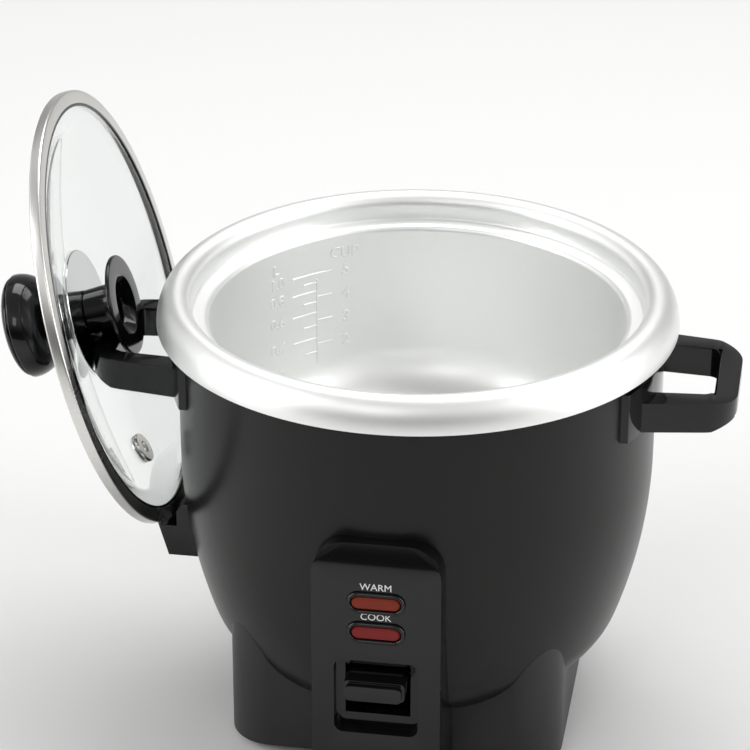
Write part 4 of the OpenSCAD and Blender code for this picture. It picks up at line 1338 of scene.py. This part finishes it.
@dataclass
class Panel:
    """The raised control panel, its lamps, labels and lever."""

    shop: Workshop

    def build(self) -> None:
        """Builds the panel's pieces."""
        panel = self.shop.softened("panel_tower", "control_panel", 1.2, 4, 24.0)
        self.shop.add(panel, "cooker", "black_gloss", ["control_panel"])
        lever = self.shop.softened("cook_lever_arm", "cook_lever", 0.6, 3, 40.0)
        self.shop.add(lever, "lever", "black_gloss", ["cook_lever"])
        heights = {"warm": SIZE.cook_z + SIZE.lens_pitch, "cook": SIZE.cook_z}
        for name, z in heights.items():
            self._lens(name, z)
            self._label(name, z)
        self._bezels(list(heights.values()))

    def _ring(self, width: float, height: float, y: float, z: float) -> list[Vector]:
        """A stadium ring facing the front, in metres."""
        return [Vector((px * MM, y * MM, (z + pz) * MM)) for px, pz in stadium(width, height)]

    def _lens(self, name: str, z: float) -> None:
        """Adds a domed lamp lens."""
        w, h, face = SIZE.lens_w, SIZE.lens_h, SIZE.face_y
        rings = [self._ring(w + 3, h + 3, face + SIZE.panel_wall + 1.4, z)]
        rings.append(self._ring(w + 3, h + 3, face + SIZE.panel_wall + 0.1, z))
        rings.append(self._ring(w, h, face + SIZE.panel_wall + 0.1, z))
        for k in range(9):
            turn = math.radians(90 * k / 8)
            inset = 2.0 * (1 - math.cos(turn))
            rings.append(self._ring(w - inset, h - inset, face + 0.2 - 1.1 * math.sin(turn), z))
        for inset in (3.2, 4.6):
            rings.append(self._ring(w - inset, h - inset, face - 0.98 - inset * 0.02, z))
        piece = loft(name + "_lamp_lens", rings)
        self.shop.add(piece, "cooker", name + "_lens", [name + "_lens"], 50.0)

    def _bezels(self, heights: Sequence[float]) -> None:
        """Adds the raised surrounds of the lenses."""
        face, w, h = SIZE.face_y, SIZE.lens_w, SIZE.lens_h
        pieces = []
        for z in heights:
            rings = [self._ring(w + 0.3, h + 0.3, face + 0.3, z)]
            for k in range(9):
                turn = math.radians(180 * k / 8)
                grow_by = 2.3 + 1.9 * -math.cos(turn)
                rings.append(self._ring(w + grow_by, h + grow_by, face - 0.2 - 1.2 * math.sin(turn), z))
            rings.append(self._ring(w + 4.4, h + 4.0, face, z))
            pieces.append(loft("bezel", rings + [rings[0]], capped=False))
        self.shop.add(join("lamp_bezels", pieces), "cooker", "black_gloss", ["lens_bezels"], 50.0)

    def _label(self, name: str, z: float) -> None:
        """Adds the printed word over a lens."""
        mesh = lettering(name + "_label", name.upper(), 3.1, 0.05, 0.0)
        turn = Matrix.Rotation(math.pi / 2, 4, "X")
        up = SIZE.lens_pitch / 2 + 0.3
        place = Matrix.Translation((0.0, (SIZE.face_y - 0.02) * MM, (z + up) * MM))
        mesh.transform(place @ turn)
        self.shop.add(link_object(name + "_label", mesh), "cooker", "black_gloss", (), 50.0, "panel_print")


def join(name: str, pieces: Sequence[bpy.types.Object]) -> bpy.types.Object:
    """Joins pieces into one.

    Args:
        name: the joined piece's name.
        pieces: the pieces, all at the origin; they are removed.

    Returns:
        The joined piece.
    """
    work = bmesh.new()
    for piece in pieces:
        work.from_mesh(piece.data)
        bpy.data.objects.remove(piece)
    mesh = bpy.data.meshes.new(name)
    work.to_mesh(mesh)
    work.free()
    return link_object(name, mesh)


@dataclass
class Handles:
    """The two side handles and the lid's bracket."""

    shop: Workshop

    def build(self) -> None:
        """Builds the handles and the bracket."""
        for side in ("left", "right"):
            piece = self.shop.softened(side + "_loop", side + "_handle", 1.5, 4, 24.0)
            self.shop.add(piece, "cooker", "black_gloss", [side + "_handle"])
        bracket = self.shop.softened("rim_bracket", "lid_bracket", 0.6, 3, 24.0)
        self.shop.add(bracket, "cooker", "black_gloss", ["lid_bracket"])


@dataclass
class Lid:
    """The glass lid that is parked on the left handle."""

    shop: Workshop

    def build(self) -> None:
        """Builds the lid's pieces."""
        s = SIZE
        half = s.glass_t / 2
        self._turn("lid_pane", wall_section(glass_line, s.glass_t), "lid_glass", ["lid_glass"], 224)
        self._turn("lid_band", self._band(), "band_steel", ["lid_rim_band"], 224)
        # A thin black ring under the glass, just inside the band's lower lip: painted shade, a dark line
        # along the band's inner edge, where the CAD has its rim_seal.
        low = s.rim_mid - half - 0.5
        inner, outer, high = s.lid_r - 7.3, s.lid_r - 6.1, low + 0.47
        shade_ring_section = [(inner, low), (outer, low), (outer, high), (inner, high)]
        self._turn("band_shade_ring", shade_ring_section + shade_ring_section[:1], "seal_rubber", ["rim_seal"], 192)
        self._turn("stem_foot", self._foot(), "black_gloss", ["stem_collar"], 128)
        self._turn("knob_grip", self._knob(), "black_gloss", ["lid_knob"], 160)
        self._turn("knob_crown", self._crown(), "black_gloss", ["knob_cap"], 160)
        self._turn("hub", self._hub(), "black_gloss", ["hanging_hub"], 160)
        disc = [(2.3, s.disc_low), (s.disc_r - 0.25, s.disc_low), (s.disc_r, s.disc_low + 0.25),
                (s.disc_r, s.disc_low + s.disc_t - 0.1), (s.disc_r - 0.1, s.disc_low + s.disc_t),
                (2.3, s.disc_low + s.disc_t)]
        self._turn("mirror_disc", disc + disc[:1], "disc_steel", ["hub_disc"], 160)
        self._vent()

    def _turn(
        self, name: str, section: Sequence[Point2], slot: str, replaces: Sequence[str], steps: int
    ) -> bpy.types.Object:
        """Turns a section about the lid's axis and adds it."""
        piece = self.shop.turned(name, section, slot, steps, LID)
        return self.shop.add(piece, "lid", slot, replaces, 35.0)

    def _band(self) -> list[Point2]:
        """The steel band's section: a thin channel round the glass's edge."""
        s = SIZE
        low, high = s.rim_mid - s.glass_t / 2 - 0.5, s.rim_mid + s.glass_t / 2 + 0.5
        outer = soften([(s.lid_r - 6, low), (s.lid_r, low), (s.lid_r, high), (s.lid_r - 6, high)], 1.1, 6)
        inner = [(r - 0.45 if r > s.lid_r - 5.9 else r, z) for r, z in outer]
        inner = [(r, min(max(z, low + 0.45), high - 0.45)) for r, z in inner]
        return outer + inner[::-1] + outer[:1]

    def _foot(self) -> list[Point2]:
        """The section of the ring that the knob's stem stands on."""
        s = SIZE
        reach = s.neck_r + 1.5
        under = [(r, s.dome_at(r, s.glass_t / 2) + 0.05) for r in (2.2, 5.0, 8.0, reach)]
        over = [(reach, s.foot_top), (2.2, s.foot_top)]
        return under[:-1] + soften([under[-2], under[-1]] + over, 0.7, 5)[1:] + under[:1]

    def _knob(self) -> list[Point2]:
        """The knob's section, without its crown."""
        s = SIZE
        low, wide = s.foot_top + KNOB_WAIST, s.foot_top + KNOB_WIDEST
        stem = [(0.0, s.foot_top + 0.1), (s.neck_r, s.foot_top + 0.1), (s.neck_r, low - 1.5)]
        flare = oval_arc((s.neck_r, wide), s.knob_r - s.neck_r, wide - low, -84, 0, 28)
        lip = [(s.knob_r, wide + 0.5), (s.knob_r - 0.9, wide + 1.2), (0.0, wide + 1.2)]
        return soften(stem + flare[:1], 1.5, 4)[:-1] + flare + soften([flare[-1]] + lip, 0.4, 3)[1:]

    def _crown(self) -> list[Point2]:
        """The knob's crown, set off by a fine groove."""
        s = SIZE
        wide = s.foot_top + KNOB_WIDEST
        dome = oval_arc((0.0, wide + 1.6), s.knob_r - 0.9, 5.4, 0, 90, 28)
        return [(0.0, wide + 1.2), (s.knob_r - 1.8, wide + 1.2), (s.knob_r - 1.7, wide + 1.6)] + dome

    def _hub(self) -> list[Point2]:
        """The hanging hub's section: a hollow cone with a flange."""
        s = SIZE
        top, high = s.disc_low - 0.05, s.flange_high
        low = high - s.flange_t
        outside = [(2.2, top), (s.hub_neck_r, top), (s.hub_r, high), (s.flange_r, high), (s.flange_r, low)]
        inside = [(s.mouth_r, low), (s.hub_r - 2, high + 2.5), (s.hub_r - 2.6, top - 3.5), (2.2, top - 3.5)]
        return soften(outside + inside, 0.85, 6) + [(2.2, top)]

    def _vent(self) -> None:
        """Adds the steam vent's grommet, square to the dome."""
        s = SIZE
        half = s.glass_t / 2
        section = [
            (s.vent_bore_r, -half - 1.3), (s.vent_r + 2, -half - 1.3), (s.vent_r + 2.4, -half - 0.6),
            (s.vent_r + 2.4, -half - 0.15), (s.vent_r, -half - 0.15), (s.vent_r, half + 0.15),
            (s.vent_r + 2.4, half + 0.15), (s.vent_r + 2.4, half + 0.6), (s.vent_r + 2, half + 1.3),
            (s.vent_bore_r, half + 1.3),
        ]
        lean = math.asin(s.vent_pos / s.dome_r)
        place = (
            Matrix.Rotation(math.radians(s.vent_turn), 4, "Z")
            @ Matrix.Translation((0.0, 0.0, (s.dome_top - s.dome_r) * MM))
            @ Matrix.Rotation(lean, 4, "Y")
            @ Matrix.Translation((0.0, 0.0, s.dome_r * MM))
        )
        piece = self.shop.turned("steam_vent", section + section[:1], "band_steel", 64, LID @ place)
        self.shop.add(piece, "lid", "band_steel", ["vent_grommet"], 35.0)


@dataclass
class Workings:
    """The parts that keep their CAD shapes: the works inside, the fixings and the feet."""

    shop: Workshop

    def build(self) -> None:
        """Dresses every CAD node in its slot's finish."""
        slots = {entry["node"]: entry["material_slot"] for entry in frame["record"]["subparts"]}
        for node, piece in frame["nodes"].items():
            piece.data.materials.clear()
            piece.data.materials.append(self.shop.finishes[slots[node]])
            LOG.info("%s is dressed in %s", node, slots[node])


# ---------------------------------------------------------------- studio


@dataclass
class Studio:
    """Floor, light and camera.

    Attributes:
        azimuth: the camera's turn round the object, in degrees.
        elevation: its height above the horizon, in degrees.
        distance: from the camera to its target, in metres.
        focal: focal length in image widths of 750.
        aim: where the target stands in the 750 by 750 image.
        roll: how far the camera's right side is raised, in degrees.
        room_light: strength of the surrounding light.
        front_light: share of it that comes from low in front.
        zenith_light: share of it that comes from straight overhead.
    """

    azimuth: float = 8.4
    elevation: float = 25.57
    distance: float = 1.4
    focal: float = 3204.0
    aim: Point2 = (417.8, 315.0)
    roll: float = 0.4
    room_light: float = 1.0
    front_light: float = 0.06
    zenith_light: float = 0.5

    def build(self) -> None:
        """Builds the whole set."""
        self._floor()
        self._world()
        self._lights()
        self._camera()
        bpy.context.scene.view_settings.view_transform = "Standard"

    def _floor(self) -> None:
        """Adds a pale sweep: a floor that curves up behind."""
        profile = [(-2.5, 0.0), (1.8, 0.0)]
        profile += [(1.8 + a, 1.2 + b) for a, b in arc((0.0, 0.0), 1.2, -90, 0, 20)]
        profile.append((3.0, 4.0))
        points = [(x, y, z) for x in (-4.0, 4.0) for y, z in profile]
        n = len(profile)
        faces = [(i, i + 1, n + i + 1, n + i) for i in range(n - 1)]
        floor = link_object("studio_floor", mesh_from("studio_floor", points, (), faces))
        material = bpy.data.materials.new("studio_paper")
        material.use_nodes = True
        surface = material.node_tree.nodes["Principled BSDF"]
        surface.inputs["Base Color"].default_value = (0.72, 0.72, 0.717, 1.0)
        surface.inputs["Roughness"].default_value = 0.9
        surface.inputs["Specular IOR Level"].default_value = 0.0
        floor.data.materials.append(material)
        for face in floor.data.polygons:
            face.use_smooth = True

    def _world(self) -> None:
        """Sets a soft surrounding light: white to the eye, dimmer in front and overhead."""
        world = bpy.data.worlds.new("soft_room")
        bpy.context.scene.world = world
        world.use_nodes = True
        tree = Tree(world.node_tree)
        _, y, z = tree.parts(tree.node("ShaderNodeTexCoord").outputs["Generated"])
        height = tree.maths("MULTIPLY_ADD", z, 1.2, y)
        front = self._fade(tree, height, (-0.75, 0.1, self.front_light, 1.0))
        over = self._fade(tree, z, (0.35, 0.95, 1.0, self.zenith_light))
        room = tree.maths("MULTIPLY", tree.maths("MULTIPLY", front, over), self.room_light)
        seen = tree.node("ShaderNodeLightPath").outputs["Is Camera Ray"]
        strength = tree.maths("MAXIMUM", room, seen)
        back = tree.node("ShaderNodeBackground")
        back.inputs["Color"].default_value = (1.0, 1.0, 0.995, 1.0)
        tree.link(strength, back.inputs["Strength"])
        out = tree.node("ShaderNodeOutputWorld")
        tree.link(back.outputs[0], out.inputs["Surface"])

    @staticmethod
    def _fade(tree: Tree, value: bpy.types.NodeSocket, limits: Sequence[float]) -> bpy.types.NodeSocket:
        """Fades smoothly from one strength to another.

        Args:
            tree: the world's tree.
            value: what the fade follows.
            limits: the value's lower and upper limit, then the strengths there.

        Returns:
            The strength.
        """
        made = tree.node("ShaderNodeMapRange", interpolation_type="SMOOTHSTEP")
        for name, limit in zip(("From Min", "From Max", "To Min", "To Max"), limits):
            made.inputs[name].default_value = limit
        tree.link(value, made.inputs["Value"])
        return made.outputs[0]

    def _lights(self) -> None:
        """Adds the soft boxes."""
        boxes = (
            ("left_box", (-1.5, -0.7, 0.8), (0.5, 1.5), 13.0),
            ("right_box", (1.6, -0.2, 0.8), (0.5, 1.5), 12.0),
            ("top_box", (0.1, 0.8, 1.9), (1.8, 1.0), 26.0),
            ("front_box", (-0.35, -1.9, 1.5), (0.5, 0.7), 3.0),
        )
        for name, place, size, power in boxes:
            light = bpy.data.lights.new(name, "AREA")
            light.shape = "RECTANGLE"
            light.size, light.size_y = size
            light.energy = power
            lamp = bpy.data.objects.new(name, light)
            bpy.context.scene.collection.objects.link(lamp)
            lamp.location = place
            aim = Vector((0.0, 0.0, 0.15)) - Vector(place)
            lamp.rotation_euler = aim.to_track_quat("-Z", "Y").to_euler()

    def _camera(self) -> None:
        """Adds the camera."""
        turn, rise, roll = (math.radians(v) for v in (self.azimuth, self.elevation, self.roll))
        back = Vector((math.sin(turn) * math.cos(rise), -math.cos(turn) * math.cos(rise), math.sin(rise)))
        side = Vector((0.0, 0.0, 1.0)).cross(back).normalized()
        over = back.cross(side)
        right = side * math.cos(roll) + over * math.sin(roll)
        up = over * math.cos(roll) - side * math.sin(roll)
        basis = Matrix((right, up, back)).transposed()
        middle = IMAGE_WIDTH / 2
        across, down = ((value - middle) / self.focal for value in self.aim)
        seen = Vector((across, -down, -1.0)).normalized()
        pan = Vector((0.0, 0.0, -1.0)).rotation_difference(seen).to_matrix()
        camera = bpy.data.cameras.new("camera")
        camera.sensor_width = SENSOR_WIDTH
        camera.lens = self.focal / IMAGE_WIDTH * SENSOR_WIDTH
        camera.clip_start = 0.05
        camera.clip_end = 50.0
        holder = bpy.data.objects.new("camera", camera)
        bpy.context.scene.collection.objects.link(holder)
        place = Matrix.Translation(Vector((0.0, 0.0, SIZE.rim_z * MM)) + back * self.distance)
        holder.matrix_world = place @ (basis @ pan.transposed()).to_4x4()
        bpy.context.scene.camera = holder


def main() -> None:
    """Builds the cooker's looks and the studio, and reports each piece."""
    logging.basicConfig(level=logging.INFO, format="%(message)s")
    shop = Workshop()
    for assembly in (Pot(shop), Drum(shop), Panel(shop), Handles(shop), Lid(shop), Workings(shop)):
        LOG.info("building %s", type(assembly).__name__)
        assembly.build()
    Studio().build()
    LOG.info("%d pieces made", len(shop.made))


if __name__ == "__main__":
    main()
